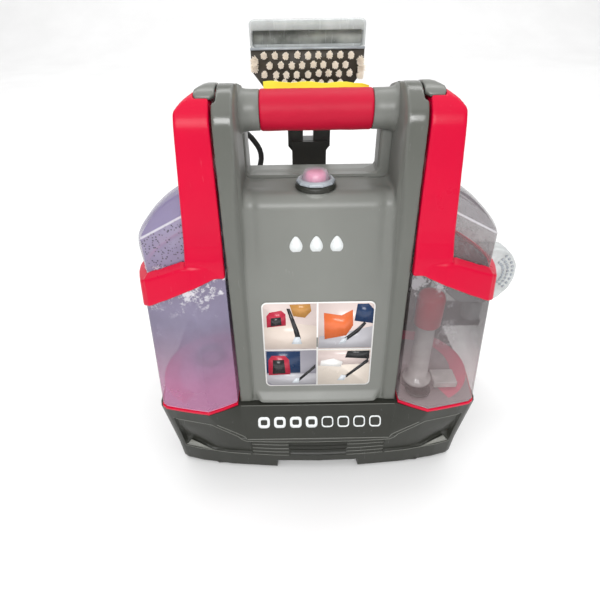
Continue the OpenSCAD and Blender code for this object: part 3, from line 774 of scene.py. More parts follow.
def base_shell():
    levels = [2.0, 2.6, 4.0, 6.0, 8.0, 10.0, 12.0, 13.3, 14.0, 15.0, 17.0, 19.0, 21.0]
    for top, bottom in zip(RIB_TOPS[::-1][1:], RIB_TOPS[::-1]):
        levels += [bottom, lerp(bottom, top, 0.3), lerp(bottom, top, 0.6), top - 0.55, top - 0.05]
    levels += [45.5 + 0.75 * i for i in range(1, 51)] + [83.6, BASE_Z]
    levels = sorted(set(round(z, 3) for z in levels if z <= BASE_Z))
    rings = []
    for z in levels:
        h, rear = base_half(z), along([(2, 100), (26, 103), (BASE_Z, 104)], z)
        ease = 1.6 * clamp01((4.0 - z) / 2.0)
        edge = h - 7.0
        front = []
        count = 250
        for i in range(count + 1):
            x = lerp(-edge, edge, i / count)
            front.append((x, base_front(x, z) + base_low_crease(x, z) + ease, z))
        side_y = front[-1][1]
        right = [(edge + 4.6, side_y + 3.2, z), (h - 0.6 - ease, side_y + 9, z), (h - ease, side_y + 16, z)]
        right += [(h - ease, y, z) for y in (-40, 0, 40, rear - 30)]
        right += [(x - ease, y - ease, z) for x, y in arc(h - 26, rear - 26, 26, 8, 82, 8)]
        left = [(-x, y, z) for x, y, z in reversed(right)]
        back = [(lerp(h - 30, -h + 30, i / 10), rear - ease, z) for i in range(11)]
        rings.append(front + right + back + left)
    bm = bmesh.new()
    verts = [[bm.verts.new(at(*p)) for p in ring] for ring in rings]
    n = len(rings[0])
    for r0, r1 in zip(verts, verts[1:]):
        for i in range(n):
            j = (i + 1) % n
            bm.faces.new((r0[i], r0[j], r1[j], r1[i]))
    bm.faces.new(verts[0])
    bm.edges.ensure_lookup_table()
    rim = [e for e in bm.edges if all(v in set(verts[-1]) for v in e.verts)]
    for x, y, r in ((-118, -30, 20), (101, -70, 15)):
        well = [bm.verts.new(at(px, py, BASE_Z)) for px, py in arc(x, y, r, 0, 352.5, 47)]
        floor = [bm.verts.new(at(px, py, 60.5)) for px, py in arc(x, y, r, 0, 352.5, 47)]
        for i in range(48):
            j = (i + 1) % 48
            rim.append(bm.edges.new((well[i], well[j])))
            bm.faces.new((well[i], well[j], floor[j], floor[i]))
        bm.faces.new(floor)
    bmesh.ops.triangle_fill(bm, use_beauty=True, use_dissolve=False, edges=rim)
    obj = new_object("base_shell", bm, mat["base"])
    obj.data.set_sharp_from_angle(angle=math.radians(38))
    return place(obj, "chassis", ("base_tub",))


def bead(name, points, width, material, proud=0.25):
    """A fine raised strip following the base's front through (x, z) points; in the pale edge material it is a painted
    highlight along the edge.
    """
    path = divide(points, 2.0)
    rings = []
    for i, (x, z) in enumerate(path):
        a, b = path[max(0, i - 1)], path[min(len(path) - 1, i + 1)]
        tx, tz = b[0] - a[0], b[1] - a[1]
        length = math.hypot(tx, tz)
        nx, nz = -tz / length * width / 2, tx / length * width / 2
        y = min(base_front(x + nx * s, z + nz * s) + base_low_crease(x + nx * s, z + nz * s) for s in (-1, 0, 1))
        rings.append([(x - nx, y + 0.3, z - nz), (x - nx * 0.6, y - proud, z - nz * 0.6),
                      (x + nx * 0.6, y - proud, z + nz * 0.6), (x + nx, y + 0.3, z + nz)])
    return place(loft(name, rings, material), "chassis")


# Pale beads and lighter facets on the dark base: painted highlights where its edges and upturned facets catch the
# light.
def base_edge_highlights():
    bead("edge_high", [(-101, 69.3), (-72.4, 51.2), (72.4, 51.2), (101, 69.3)], 1.0, mat["edge"])
    bead("edge_low", [(-144, 70.4), (-107, 69.4), (-73.2, 46.2), (73.2, 46.2), (107, 69.4), (144, 70.4)], 1.0,
         mat["edge"])
    for side in (-1, 1):
        bead(f"edge_foot{side}", [(side * 142, 24.8), (side * 71, 22.3)], 1.0, mat["edge"])
        bead(f"edge_side{side}", [(side * 145, 68.5), (side * 141.4, 27.5)], 0.6, mat["base"])
        # Wedge facets in a lighter grey: painted highlight.
        a, b, c = (139.6, 26.8), (133.8, 34.6), (109, 23.8)
        shape = [(side * x, z) for x, z in (a, b, c)]
        rings = []
        for depth in (0.6, -0.5):
            rings.append([(x, hull_front(x, z) + depth + (2.0 if z > 30 else 0.3), z) for x, z in shape])
        place(loft(f"base_facet{side}", rings, mat["facet"]), "chassis")
    for k, z in enumerate(RIB_TOPS[1:]):
        for x0, x1 in ((-68.6, -30.2), (-29.2, 29.2), (30.2, 68.6)):
            tone = mat["base"] if x0 == -29.2 else mat["edge"]
            bead(f"edge_rib{k}_{int(x0 > 0) + int(x0 > -30)}", [(x0, z + 0.25), (x1, z + 0.25)], 0.8, tone)
    bead("edge_seam", [(-77, 83.4), (77, 83.4)], 0.7, mat["edge"], 0.15)


# ---- Front cover ----


def column_edge(z):
    """Inner edge of a column's front face; below it the face is narrowed by a long chamfer."""
    return lerp(62.6, 66.2, smooth_step((345 - z) / 70))


def column_outline(step=4.0):
    z_axis = TOP_Z - CORNER_R
    y_axis = front_y(z_axis) + CORNER_R / math.cos(LEAN)
    curve = arc(y_axis, z_axis, CORNER_R, 180 - 5, 90, 18)
    front = divide([(front_y(BASE_Z), BASE_Z + 0.1), curve[0]], step)
    top = divide([curve[-1], (SPLIT_Y, TOP_Z)], step)
    return front[:-1] + curve + top[1:] + [(SPLIT_Y, BASE_Z + 0.1)]


def front_column(side):
    outline = [(y, crown(y, z)) for y, z in column_outline()]

    def ring(x_of, inset):
        out = []
        for (y, z), (iy, iz) in zip(outline, offset_inwards(outline, inset)):
            keep_seam = y >= SPLIT_Y - 0.01 or z <= BASE_Z + 0.2
            out.append((side * x_of(z), y if keep_seam else iy, z if keep_seam else iz))
        return out

    def inner(k):
        return lambda z: lerp(column_edge(z), 61.0, k)

    def under_latch(points):
        return [(x, y, z - 8.8 * clamp01((y + 64) / 2) * clamp01((-29.5 - y) / 0.4) * clamp01((z - 340) / 12))
                for x, y, z in points]

    rings = [under_latch(ring(lambda z: COLUMN_OUT, 1.2)), under_latch(ring(lambda z: COLUMN_OUT - 0.3, 0.5)),
             under_latch(ring(lambda z: COLUMN_OUT - 1.0, 0.0)), under_latch(ring(lambda z: 75.3, 0.0)),
             ring(lambda z: 74.9, 0.0), ring(lambda z: column_edge(z) + 2.0, 0.0),
             ring(lambda z: column_edge(z) + 0.5, 0.3), ring(inner(0.05), 0.9), ring(inner(0.5), 3.2),
             ring(inner(1.0), 6.5)]
    return loft("column", rings, mat["body"])


def panel_front(x, z):
    """Front face of the panel: almost flush with the columns low down, sunk near its top."""
    a = abs(x)
    sunk = 1.6 + 1.2 * smooth_step((z - 150) / 60) + 3.6 * smooth_step((z - 205) / 60)
    valley = 1.9 * smooth_step((z - 205) / 50) * math.exp(-(((a - 54.5) / 4.2) ** 2))
    pillow = 1.0 * (a / 62) ** 4
    lip = 6.4 * min(clamp01((97.5 - z) / 9.0), clamp01((62.6 - a) / 6.5)) * clamp01((z - 85.4) / 0.9)
    return front_y(z) + sunk + valley + pillow - lip


def panel_and_shoulder():
    columns = [62.9 * (i / 44) for i in range(-44, 45)]
    rise = [BASE_Z + 0.1, 85.3, 85.9, 86.6, 87.5] + [87.5 + 2.1 * i for i in range(1, 87)]
    rise = [z for z in rise if z <= 276.8]
    rings = []
    for z in rise:
        rings.append([(x, panel_front(x, z), z) for x in columns])
    turn_r, turn_z = 14.0, 276.8
    shoulder_top = turn_z + turn_r

    def well(x, y):
        return 6.5 * smooth_step((17 - math.hypot(x + 2, y + 51)) / 2.5)

    for k in range(1, 13):
        a = math.radians(90 * k / 12)
        ring = []
        for x in columns:
            y = panel_front(x, turn_z) + turn_r * (1 - math.cos(a))
            ring.append((x, y, turn_z + turn_r * math.sin(a) - well(x, y)))
        rings.append(ring)
    y0 = panel_front(0, turn_z) + turn_r
    for k in range(1, 17):
        t = k / 16
        ring = []
        for x in columns:
            a = abs(x)
            start = panel_front(x, turn_z) + turn_r
            fillet = 6.0 - math.sqrt(max(0.0, 36 - max(0.0, a - 56.0) ** 2))
            dish = 0.8 * smooth_step(t * 3) * math.exp(-((a - 50) / 9) ** 2)
            y = lerp(start, SPLIT_Y, t)
            z = lerp(shoulder_top, 291.5, t) + fillet * smooth_step(t * 2) - dish
            ring.append((x, y, z - well(x, y)))
        rings.append(ring)
    depth = 3.0
    back = [[(x, min(y + depth * 0.9, SPLIT_Y), z - depth) for x, y, z in ring] for ring in reversed(rings)]
    bm = bmesh.new()
    loop = rings + back
    verts = [[bm.verts.new(at(*p)) for p in ring] for ring in loop]
    n = len(columns)
    for i in range(len(loop)):
        r0, r1 = verts[i], verts[(i + 1) % len(loop)]
        for j in range(n - 1):
            bm.faces.new((r0[j], r0[j + 1], r1[j + 1], r1[j]))
    for j in (0, n - 1):
        rim = [v[j] for v in verts]
        half = len(rings)
        for i in range(half - 1):
            bm.faces.new((rim[i], rim[i + 1], rim[-2 - i], rim[-1 - i]))
    return new_object("panel", bm, mat["body"])


def front_cover():
    parts = [front_column(-1), front_column(1), panel_and_shoulder()]
    boss = [(15.8, 283.5), (15.8, 289.5), (15.4, 290.6), (15.0, 290.8), (13.6, 290.8), (13.6, 283.5)]
    rings = []
    for r, z in boss + [boss[0]]:
        rings.append([(-2 + r * math.cos(a * math.pi / 24), -51 + r * math.sin(a * math.pi / 24), z)
                      for a in range(48)])
    parts.append(loft("boss", rings, mat["body"], capped=False))
    obj = fuse("front_cover_shell", parts, 1.15, 5, keep=0.45)
    return place(obj, "chassis", ("front_cover",))


def opening_rim():
    """The rear cover's lip, seen as a frame round the handle opening; its right leg is deeper."""
    low, high, r = 289.0, 333.0, 10.0
    left, right = -63.4, 60.6
    path = [(left, high), (left, low + r)] + arc(left + r, low + r, r, 180, 270, 8)[1:]
    path += arc(right - r, low + r, r, 270, 360, 8) + [(right, high)]
    path = divide(path, 8.0)
    rings = []
    for i, (x, z) in enumerate(path):
        a, b = path[max(0, i - 1)], path[min(len(path) - 1, i + 1)]
        tx, tz = b[0] - a[0], b[1] - a[1]
        length = math.hypot(tx, tz)
        nx, nz = -tz / length, tx / length
        legs = smooth_step((x - 40) / 18)
        thick = lerp(3.4, 8.6, legs)
        section = [(-2.4, -28.6), (thick - 2.0, -28.6), (thick - 0.4, -27.0), (thick, -25.0), (thick, -9.0),
                   (thick - 0.6, -7.0), (-2.4, -7.0)]
        rings.append([(x + nx * d, y, z + nz * d) for d, y in section])
    obj = soften(loft("opening_rim", rings, mat["body"]), 0.5)
    return place(obj, "chassis")


def behind_opening(x, y, z):
    """The rear cover's top dips behind the handle so that the floor shows through the opening."""
    dip = max(0.0, 0.33 * (y + 20) + 1.0) * clamp01((z - 240) / 20) if abs(x) < 61.4 else 0.0
    return (x, y, crown(y, z) - dip)


# ---- Handle ----


def handle_ends():
    ends = []
    for side in (-1, 1):
        start = 45.7 if side < 0 else 42.9
        profile = [(14.6, start), (15.2, start + 0.5), (15.3, 52), (15.5, 56), (16.0, 58.6), (17.2, 60.6),
                   (18.6, 61.6), (18.6, 63.0)]
        ends.append(lathe("end", [(r, side * x) for r, x in profile], (0, SPLIT_Y, HANDLE_Z), mat["body"], "x"))
    bar = lathe("bar", [(11, -46), (11, 46)], (0, SPLIT_Y, HANDLE_Z), mat["body"], "x")
    return place(join("handle_bar_piece", ends + [bar]), "chassis", ("handle_bar",))


def grip():
    """Soft sleeve: a slightly flattened tube with rolled ends and faint wrinkles."""
    low, high, rings = -45.4, 42.6, []
    count = 72
    for i in range(count + 1):
        x = lerp(low, high, i / count)
        edge = min(1.0, (high - x) / 0.8, (x - low) / 0.8)
        r = 15.45 - 0.6 * (1 - math.sqrt(max(0.0, 1 - (1 - edge) ** 2)))
        ring = []
        for k in range(56):
            a = 2 * math.pi * k / 56
            wave = 0.22 * noise.noise(Vector((x * 0.09, 2.2 * math.cos(a), 2.2 * math.sin(a))))
            flat = -0.45 * max(0.0, math.sin(a - 0.5)) ** 6
            rr = r + wave + flat
            ring.append((x, SPLIT_Y + rr * math.cos(a), HANDLE_Z + rr * math.sin(a)))
        rings.append(ring)
    obj = loft("handle_grip_piece", rings, mat["grip"])
    return place(obj, "chassis", ("handle_grip",))


def tape():
    """Plain yellow tag folded over the back of the grip, its free edge standing up a little."""
    rings = []
    rng = random.Random(5)
    for i in range(43):
        x = lerp(-42.5, 40.5, i / 42)
        t = i / 42
        stand = lerp(5.0, 3.2, t) + 0.5 * math.sin(t * 19) + rng.uniform(-0.15, 0.15)
        if t > 0.93:
            stand *= 1 - 0.55 * (t - 0.93) / 0.07
        line = [(r, a) for r, a in ((15.62, 20), (15.66, 38), (15.7, 54), (15.8, 66))]
        pts = [(SPLIT_Y + r * math.cos(math.radians(a)), HANDLE_Z + r * math.sin(math.radians(a)))
               for r, a in line]
        y, z = pts[-1]
        lean = 0.7 + 0.25 * math.sin(t * 7)
        pts += [(y - 0.1, z + stand * 0.5), (y - lean, z + stand)]
        thick = [(py + 0.35, pz + 0.12) for py, pz in reversed(pts)]
        rings.append([(x, py, pz) for py, pz in pts + thick])
    obj = loft("grip_tape_piece", rings, mat["yellow"])
    obj.data.set_sharp_from_angle(angle=math.radians(50))
    return place(obj, "chassis", ("grip_tape",))


# ---- Power button ----


def button():
    centre = (-2, -51, 0)
    boot = lathe("button_boot", [(0.01, 305.6), (6.4, 305.4), (8.8, 304.6), (9.9, 303.0), (10.6, 300.4),
                                 (11.2, 298.0), (11.25, 293.0)], centre, mat["boot"])
    place(boot, "power_button", ("power_button",))
    core = lathe("button_core", [(0.01, 304.0), (5.8, 303.8), (7.6, 302.8), (8.4, 300.4), (8.6, 293.2)],
                 centre, mat["pink"])
    place(core, "power_button")
    rings = []
    teeth, steps = 10, 160
    for r, z, tooth in ((11.5, 296.4, 0), (11.6, 298.4, 0), (12.8, 298.9, 0), (14.6, 298.1, 0.2),
                        (15.3, 297.0, 1.0), (15.4, 295.6, 1.0), (14.6, 295.0, 0.5), (11.5, 295.0, 0)):
        ring = []
        for k in range(steps):
            a = 2 * math.pi * k / steps
            bump = 0.6 * tooth * smooth_step((math.cos(a * teeth) - 0.72) / 0.2)
            ring.append((centre[0] + (r + bump) * math.cos(a), centre[1] + (r + bump) * math.sin(a), z))
        rings.append(ring)
    flange = loft("button_ring", rings + [rings[0]], mat["ring"], capped=False)
    place(flange, "chassis", ("button_flange",))
    profile = [(12.6, 290.9), (16.4, 290.9), (16.9, 291.6), (16.6, 293.9), (15.4, 294.9), (12.6, 294.9)]
    turns = [[(centre[0] + r * math.cos(k * math.pi / 24), centre[1] + r * math.sin(k * math.pi / 24), z)
              for k in range(48)] for r, z in profile + profile[:1]]
    bezel = loft("button_bezel_piece", turns, mat["base"], capped=False)
    place(bezel, "chassis", ("button_bezel",))


# ---- Label and marks ----


def on_panel(x, z, proud):
    """A point just in front of the panel, on the plane of the label."""
    return (x, front_y(z) + 1.5 + 1.5 * (z - BASE_Z) / 178 - proud, z)


def flat_shape(name, outline, proud, material, thick=0.25):
    """A thin printed or stuck-on shape lying on the panel: outline is (x, z)."""
    front = [on_panel(x, z, proud) for x, z in outline]
    back = [on_panel(x, z, proud - thick) for x, z in outline]
    return loft(name, [back, front], material)


def oval(cx, cz, rx, rz, n=32):
    return [(cx + rx * math.cos(2 * math.pi * k / n), cz + rz * math.sin(2 * math.pi * k / n)) for k in range(n)]


def round_rect(x0, z0, x1, z1, r):
    out = []
    for cx, cz, a in ((x1 - r, z1 - r, 90), (x1 - r, z0 + r, 0), (x0 + r, z0 + r, -90), (x0 + r, z1 - r, 180)):
        out += arc(cx, cz, r, a, a - 90, 6)
    return out


PICTURE_INKS = {
    "paper": (0.86, 0.85, 0.83), "beige": (0.62, 0.50, 0.42), "rug": (0.70, 0.60, 0.53),
    "orange": (0.72, 0.15, 0.04), "navy": (0.012, 0.035, 0.10), "sofa": (0.45, 0.44, 0.47),
    "dusk": (0.30, 0.29, 0.33), "sand": (0.74, 0.66, 0.58), "red": (0.45, 0.02, 0.05),
    "coal": (0.02, 0.02, 0.022), "mist": (0.62, 0.66, 0.70), "amber": (0.50, 0.24, 0.06),
    "wall": (0.66, 0.55, 0.52),
}


def ink(name):
    key = "ink_" + name
    if key not in mat:
        mat[key] = plastic(key, PICTURE_INKS[name], 0.25, grain=500, depth=0.00001, spread=0.10)
    return mat[key]


def label():
    """Four generic pictures of a carpet, a cushion, a bench and a spot being cleaned."""
    x0, x1, z0, z1 = -51.0, 51.0, 103.4, 197.4
    paper = flat_shape("picture_label_piece", round_rect(x0, z0, x1, z1, 5.0), 0.45, ink("paper"), 0.5)
    place(paper, "chassis", ("picture_label",))
    mx, mz, gap = -0.8, 146.5, 0.75
    cells = {
        "a": (x0 + 1.2, mz + gap, mx - gap, z1 - 1.2), "b": (mx + gap, mz + gap, x1 - 1.2, z1 - 1.2),
        "c": (x0 + 1.2, z0 + 1.2, mx - gap, mz - gap), "d": (mx + gap, z0 + 1.2, x1 - 1.2, mz - gap),
    }

    def spot(cell, u, v):
        cx0, cz0, cx1, cz1 = cells[cell]
        return lerp(cx0, cx1, u), lerp(cz0, cz1, v)

    def patch(cell, color, points, layer):
        shape = [spot(cell, u, v) for u, v in points]
        piece = flat_shape(f"picture_{cell}{layer}_{color}", shape, 0.46 + 0.04 * layer, ink(color), 0.1)
        place(piece, "chassis")

    def corner_cell(cell, color, corner):
        cx0, cz0, cx1, cz1 = cells[cell]
        points = []
        for k, (cx, cz, sx, sz) in enumerate(((cx1, cz1, -1, -1), (cx1, cz0, -1, 1), (cx0, cz0, 1, 1),
                                              (cx0, cz1, 1, -1))):
            if k == corner:
                points += arc(cx + sx * 4, cz + sz * 4, 4, 90 - 90 * k, -90 * k, 6)
            else:
                points.append((cx, cz))
        piece = flat_shape(f"picture_{cell}0_{color}", points, 0.50, ink(color), 0.1)
        place(piece, "chassis")

    corner_cell("a", "wall", 3)
    corner_cell("b", "wall", 0)
    corner_cell("c", "dusk", 2)
    corner_cell("d", "sand", 1)
    patch("a", "rug", [(0, 0.02), (1, 0.02), (1, 0.52), (0.5, 0.60), (0, 0.50)], 2)
    patch("a", "red", [(0.06, 0.50), (0.42, 0.54), (0.42, 0.78), (0.34, 0.86), (0.12, 0.82), (0.06, 0.74)], 3)
    patch("a", "coal", [(0.13, 0.52), (0.34, 0.55), (0.33, 0.72), (0.14, 0.70)], 4)
    patch("a", "amber", [(0.50, 0.98), (0.56, 0.74), (0.78, 0.70), (0.90, 0.84), (0.88, 0.99)], 3)
    patch("a", "coal", [(0.44, 0.90), (0.50, 0.90), (0.66, 0.42), (0.70, 0.24), (0.60, 0.24), (0.56, 0.44)], 5)
    patch("a", "mist", [(0.52, 0.12), (0.72, 0.12), (0.68, 0.28), (0.58, 0.28)], 6)
    patch("b", "navy", [(0.66, 0.62), (1, 0.56), (1, 0.86), (0.90, 0.98), (0.70, 0.98)], 2)
    patch("b", "sofa", [(0, 0.02), (1, 0.02), (1, 0.50), (0.62, 0.40), (0.02, 0.28)], 3)
    patch("b", "orange", [(0.12, 0.22), (0.52, 0.30), (0.64, 0.52), (0.62, 0.86), (0.42, 0.74), (0.10, 0.80)], 4)
    patch("b", "coal", [(0.46, 0.22), (0.70, 0.44), (0.84, 0.60), (0.88, 0.56), (0.74, 0.36), (0.50, 0.16)], 5)
    patch("b", "mist", [(0.38, 0.10), (0.52, 0.14), (0.54, 0.26), (0.44, 0.22)], 6)
    patch("c", "navy", [(0, 0.36), (0.68, 0.36), (0.68, 0.98), (0.02, 0.98)], 2)
    patch("c", "sofa", [(0.10, 0.03), (1, 0.02), (1, 0.34), (0, 0.32), (0, 0.12)], 3)
    patch("c", "red", [(0.04, 0.30), (0.48, 0.32), (0.46, 0.74), (0.38, 0.86), (0.12, 0.86), (0.05, 0.74)], 4)
    patch("c", "coal", [(0.12, 0.34), (0.38, 0.35), (0.36, 0.74), (0.14, 0.74)], 5)
    patch("c", "coal", [(0.60, 0.14), (0.66, 0.12), (0.98, 0.50), (0.98, 0.60)], 6)
    patch("c", "mist", [(0.50, 0.06), (0.64, 0.06), (0.66, 0.20), (0.58, 0.20)], 7)
    patch("d", "wall", [(0, 0.56), (1, 0.60), (1, 0.97), (0, 0.98)], 2)
    patch("d", "coal", [(0.52, 0.78), (0.98, 0.74), (0.98, 0.97), (0.56, 0.97)], 3)
    patch("d", "paper", [(0.04, 0.56), (0.44, 0.52), (0.48, 0.66), (0.30, 0.76), (0.06, 0.70)], 4)
    patch("d", "coal", [(0.50, 0.22), (0.56, 0.20), (0.98, 0.66), (0.96, 0.76)], 5)
    patch("d", "mist", [(0.38, 0.12), (0.52, 0.12), (0.56, 0.26), (0.46, 0.28)], 6)


def marks():
    """Plain drops on the panel and plain beads on the base where the real one has lettering."""
    lift = panel_front(0, 249) - on_panel(0, 249, 0)[1]
    for n, cx in enumerate((-19, -2, 15)):
        drop = []
        for k in range(40):
            a = 2 * math.pi * k / 40
            pull = 1 + 0.55 * max(0.0, math.sin(a)) ** 3
            drop.append((cx + 5.4 * math.cos(a), 248.5 + 5.6 * math.sin(a) * pull))
        place(flat_shape(f"panel_mark_{n}", drop, 0.35 - lift, mat["mark"], 0.8), "chassis")
    for k in range(8):
        x, z = -54.5 + 16.0 * k, 67.2
        outer = round_rect(x - 5.9, z - 5.2, x + 5.9, z + 5.2, 3.4)
        inner = round_rect(x - 3.3, z - 2.6, x + 3.3, z + 2.6, 1.4) if k < 4 else \
            round_rect(x - 4.7, z - 4.0, x + 4.7, z + 4.0, 2.4)

        def on_slope(points, depth):
            return [(px, base_front(0, pz) + depth, pz) for px, pz in points]

        rings = [on_slope(outer, 0.6), on_slope(outer, -0.3), on_slope(inner, -0.3), on_slope(inner, 0.6)]
        place(loft(f"base_mark_{k}", rings + [rings[0]], mat["mark"], capped=False), "chassis")


# ---- Tanks and arms, drawn on the right and mirrored ----

FOOT_FRONT = (-98.0, -110.8, -100.5)
BELT_FRONT = (-82.5, -86.0, -81.5)
FLOOR_Z = 88.0
BELT_Z = 226.0
TANK_OUT = 160.0


def tank_front(z):
    t = (z - FLOOR_Z) / (BELT_Z - FLOOR_Z)
    return [lerp(a, b, t) for a, b in zip(FOOT_FRONT, BELT_FRONT)]


def tank_path(z, out=0.0):
    """Plan of the tank at z from its inner front corner round to its rear, grown by out."""
    f0, f1, f2 = tank_front(z)
    edge = lerp(154.6, 151.6, clamp01((z - FLOOR_Z) / (BELT_Z - FLOOR_Z)))
    path = [(80, f0 - out), (93, lerp(f0, f1, 0.5) - out - 0.3), (105.2, lerp(f0, f1, 0.93) - out)]
    path += [(107, f1 - out), (108.8, lerp(f1, f2, 0.04) - out)]
    path += [(lerp(109, edge - 3.5, k / 6), lerp(f1, f2, 0.04 + 0.88 * k / 6) - out - 0.4 * math.sin(math.pi * k / 6))
             for k in range(1, 7)]
    r = 4.0 + out
    path += arc(edge - 4 + out * 0.2, f2 + 4.4 + out * 0.2, r, -78, -14, 6)
    wide = TANK_OUT + 1.6 + out
    side_y = f2 + 4.4
    path += [(lerp(path[-1][0], wide, t), lerp(side_y, -46, u)) for t, u in ((0.38, 0.28), (0.75, 0.62))]
    path += arc(TANK_OUT - 58.4, -46, 60 + out, 0, 90, 14)
    return path


def belt_low(x):
    return along([(79.5, 228), (147, 199), (166, 191)], x)


def belt_high(x):
    return along([(112, 238), (147, 226), (166, 219.5)], x)


def band_part():
    rings = []
    path = tank_path(BELT_Z, 2.4)
    inner = tank_path(BELT_Z, 0.3)
    for k, ((x, y), (ix, iy)) in enumerate(zip(path, inner)):
        if x < 79.9:
            x = ix = 80.2
        lo, hi = belt_low(x), min(belt_high(x), 237.0)
        nx, ny = x - ix, y - iy
        size = math.hypot(nx, ny)
        nx, ny = nx / size, ny / size
        fronts = (tank_path(lo, 2.4)[k], tank_path(hi, 2.4)[k])
        dlo = ((fronts[0][0] - x) * nx + (fronts[0][1] - y) * ny)
        dhi = ((fronts[1][0] - x) * nx + (fronts[1][1] - y) * ny)
        wide = 9.0 if k < 14 else lerp(9.0, 6.0, min(1, (k - 14) / 10))
        section = [(dlo - 2.0, lo), (dlo - 0.5, lo), (dlo, lo + 0.8), (dhi, hi - 3.4), (dhi - 0.5, hi - 2.6),
                   (dhi - wide, hi + 0.8), (dhi - wide, hi - 1.4), (dhi - 2.4, hi - 4.0)]
        rings.append([(x + nx * d, y + ny * d, z) for d, z in section])
    return loft("band", rings, mat["red"])


def strap_outline():
    lean_back = []
    for z in (224, 228, 232, 236, 240, 246, 252, 262, 280, 300, 320, 334):
        lean_back.append((front_y(z) - 3.2 * smooth_step((258 - z) / 22), z))
    z_axis = TOP_Z - CORNER_R - 1
    y_axis = front_y(z_axis) + CORNER_R / math.cos(LEAN)
    outer = lean_back + arc(y_axis, z_axis, CORNER_R, 180 - 5, 90, 14) + arc(-16, TOP_Z - 24, 23, 90, 0, 10)
    outer += [(7, 330), (7, 316), (7, 302.4)]
    inner = [(-7, 302.4), (-7, 320), (-7, 342)] + arc(-18, TOP_Z - 26, 11, 0, 90, 5)[1:]
    inner += arc(y_axis + 4, z_axis - 4, 21, 90, 175, 8)
    inner += [(front_y(300) + 12, 300), (front_y(288) + 11, 288), (-72.0, 275), (-74, 258), (-77, 240), (-78, 224)]
    return outer + inner


STRAP_FRONT = [(238, 112.0), (300, 108.4), (339, 106.0), (350, 105.4)]
STRAP_WIDER = [(238, 0.4), (300, 2.5), (350, 5.5)]
ROOF = [(79.5, 368), (84.5, 366.4), (92.5, 363.0), (99.5, 358.6), (104.5, 353.4), (107.6, 347.6), (109.6, 341),
        (110.6, 332), (111.2, 318)]


def strap_part():
    outline = strap_outline()

    def ring(u, inset):
        out = []
        for (y, z), (iy, iz) in zip(outline, offset_inwards(outline, inset)):
            back = smooth_step((y - front_y(z)) / 46)
            x = lerp(79.6, along(STRAP_FRONT, z) + back * along(STRAP_WIDER, z), u)
            out.append((x, iy, min(crown(iy, iz), crown(iy, along(ROOF, x)) - inset * 0.5)))
        return out

    stations = [(0, 1.0), (0.012, 0.3), (0.04, 0)] + [(k / 14, 0) for k in range(1, 14)]
    stations += [(0.96, 0.1), (0.982, 0.6), (0.994, 1.3), (1.0, 2.2)]
    return loft("strap", [ring(u, d) for u, d in stations], mat["red"])


def mirrored(obj):
    """The same piece on the other side of the machine's mid-plane."""
    flip = Matrix.Translation((2 * MID_X, 0, 0)) @ Matrix.Diagonal((-1, 1, 1, 1))
    obj.data.transform(flip)
    obj.data.flip_normals()
    return obj


LATCH_FRONT, LATCH_REAR = -61.0, -12.0
LATCH_IN, LATCH_OUT = 79.9, 90.6


def arm_top(x, y):
    """Height of the arm's top surface over (x, y): its roof, or the round front corner below it."""
    z_axis = TOP_Z - CORNER_R - 1
    y_axis = front_y(z_axis) + CORNER_R / math.cos(LEAN)
    ahead = min(CORNER_R, max(0.0, y_axis - y))
    curve = z_axis + math.sqrt(CORNER_R ** 2 - ahead ** 2)
    return min(crown(y, curve), crown(y, along(ROOF, x)))


def over_arm(grow, top, bottom, name, material):
    """A slab that follows the arm's top between two heights over it, its outline grown by grow."""
    rings = []
    y0, y1 = LATCH_FRONT - grow, LATCH_REAR + grow
    x0, x1 = LATCH_IN - grow, LATCH_OUT + grow
    count = 26
    for k in range(count + 1):
        y = lerp(y0, y1, k / count)
        end = min(1.0, (y - y0) / 1.6, (y1 - y) / 1.6)
        dip = 0.9 * (1 - end)
        pull = 1.6 * (1 - end)
        inner = x0 - 4.3 * clamp01((y + 62) / 2) * clamp01((-30.5 - y) / 2)
        xs = [lerp(inner + pull, x1 - pull, u) for u in (0, 0.05, 0.2, 0.4, 0.6, 0.8, 0.95, 1)]
        edge = [0.8, 0.15, 0, 0, 0, 0, 0.15, 0.8]
        ring = [(x, y, arm_top(max(x, 79.6), y) + top - dip - e) for x, e in zip(xs, edge)]
        ring += [(xs[-1], y, arm_top(xs[-1], y) + bottom), (xs[0], y, arm_top(max(xs[0], 79.6), y) + bottom)]
        rings.append(ring)
    return loft(name, rings, material)


def arm(side, name, body):
    pocket = over_arm(0.5, 8.0, -4.8, "pocket", mat["red"])
    obj = fuse(name + "_piece", [band_part(), strap_part()], 1.0, 3, keep=0.5, cutters=[pocket])
    if side < 0:
        mirrored(obj)
    return place(obj, body, (name,))


def latch(side, name, body):
    obj = over_arm(0.0, 1.5, -1.6, name + "_piece", mat["cap"])
    if side < 0:
        mirrored(obj)
    place(obj, body, (name,))


WINDOW_CREASE = [(80, 291), (113, 276), (143, 260.5), (150, 256)]
DOME_SIDE = [(222, 157.5), (244, 159.5), (252, 157.2), (259, 152.6), (266, 146.4), (273, 138.6), (280, 129.4),
             (286, 119.5), (291, 108), (294.5, 97)]


def upper_front(x, z):
    """Front of the tank above the band: flat window, then a crisp crease and a dome leaning back."""
    y = -76 + (z - 226) * 0.06
    over = max(0.0, z - along(WINDOW_CREASE, x))
    return y + 0.85 * over + 0.012 * over * over


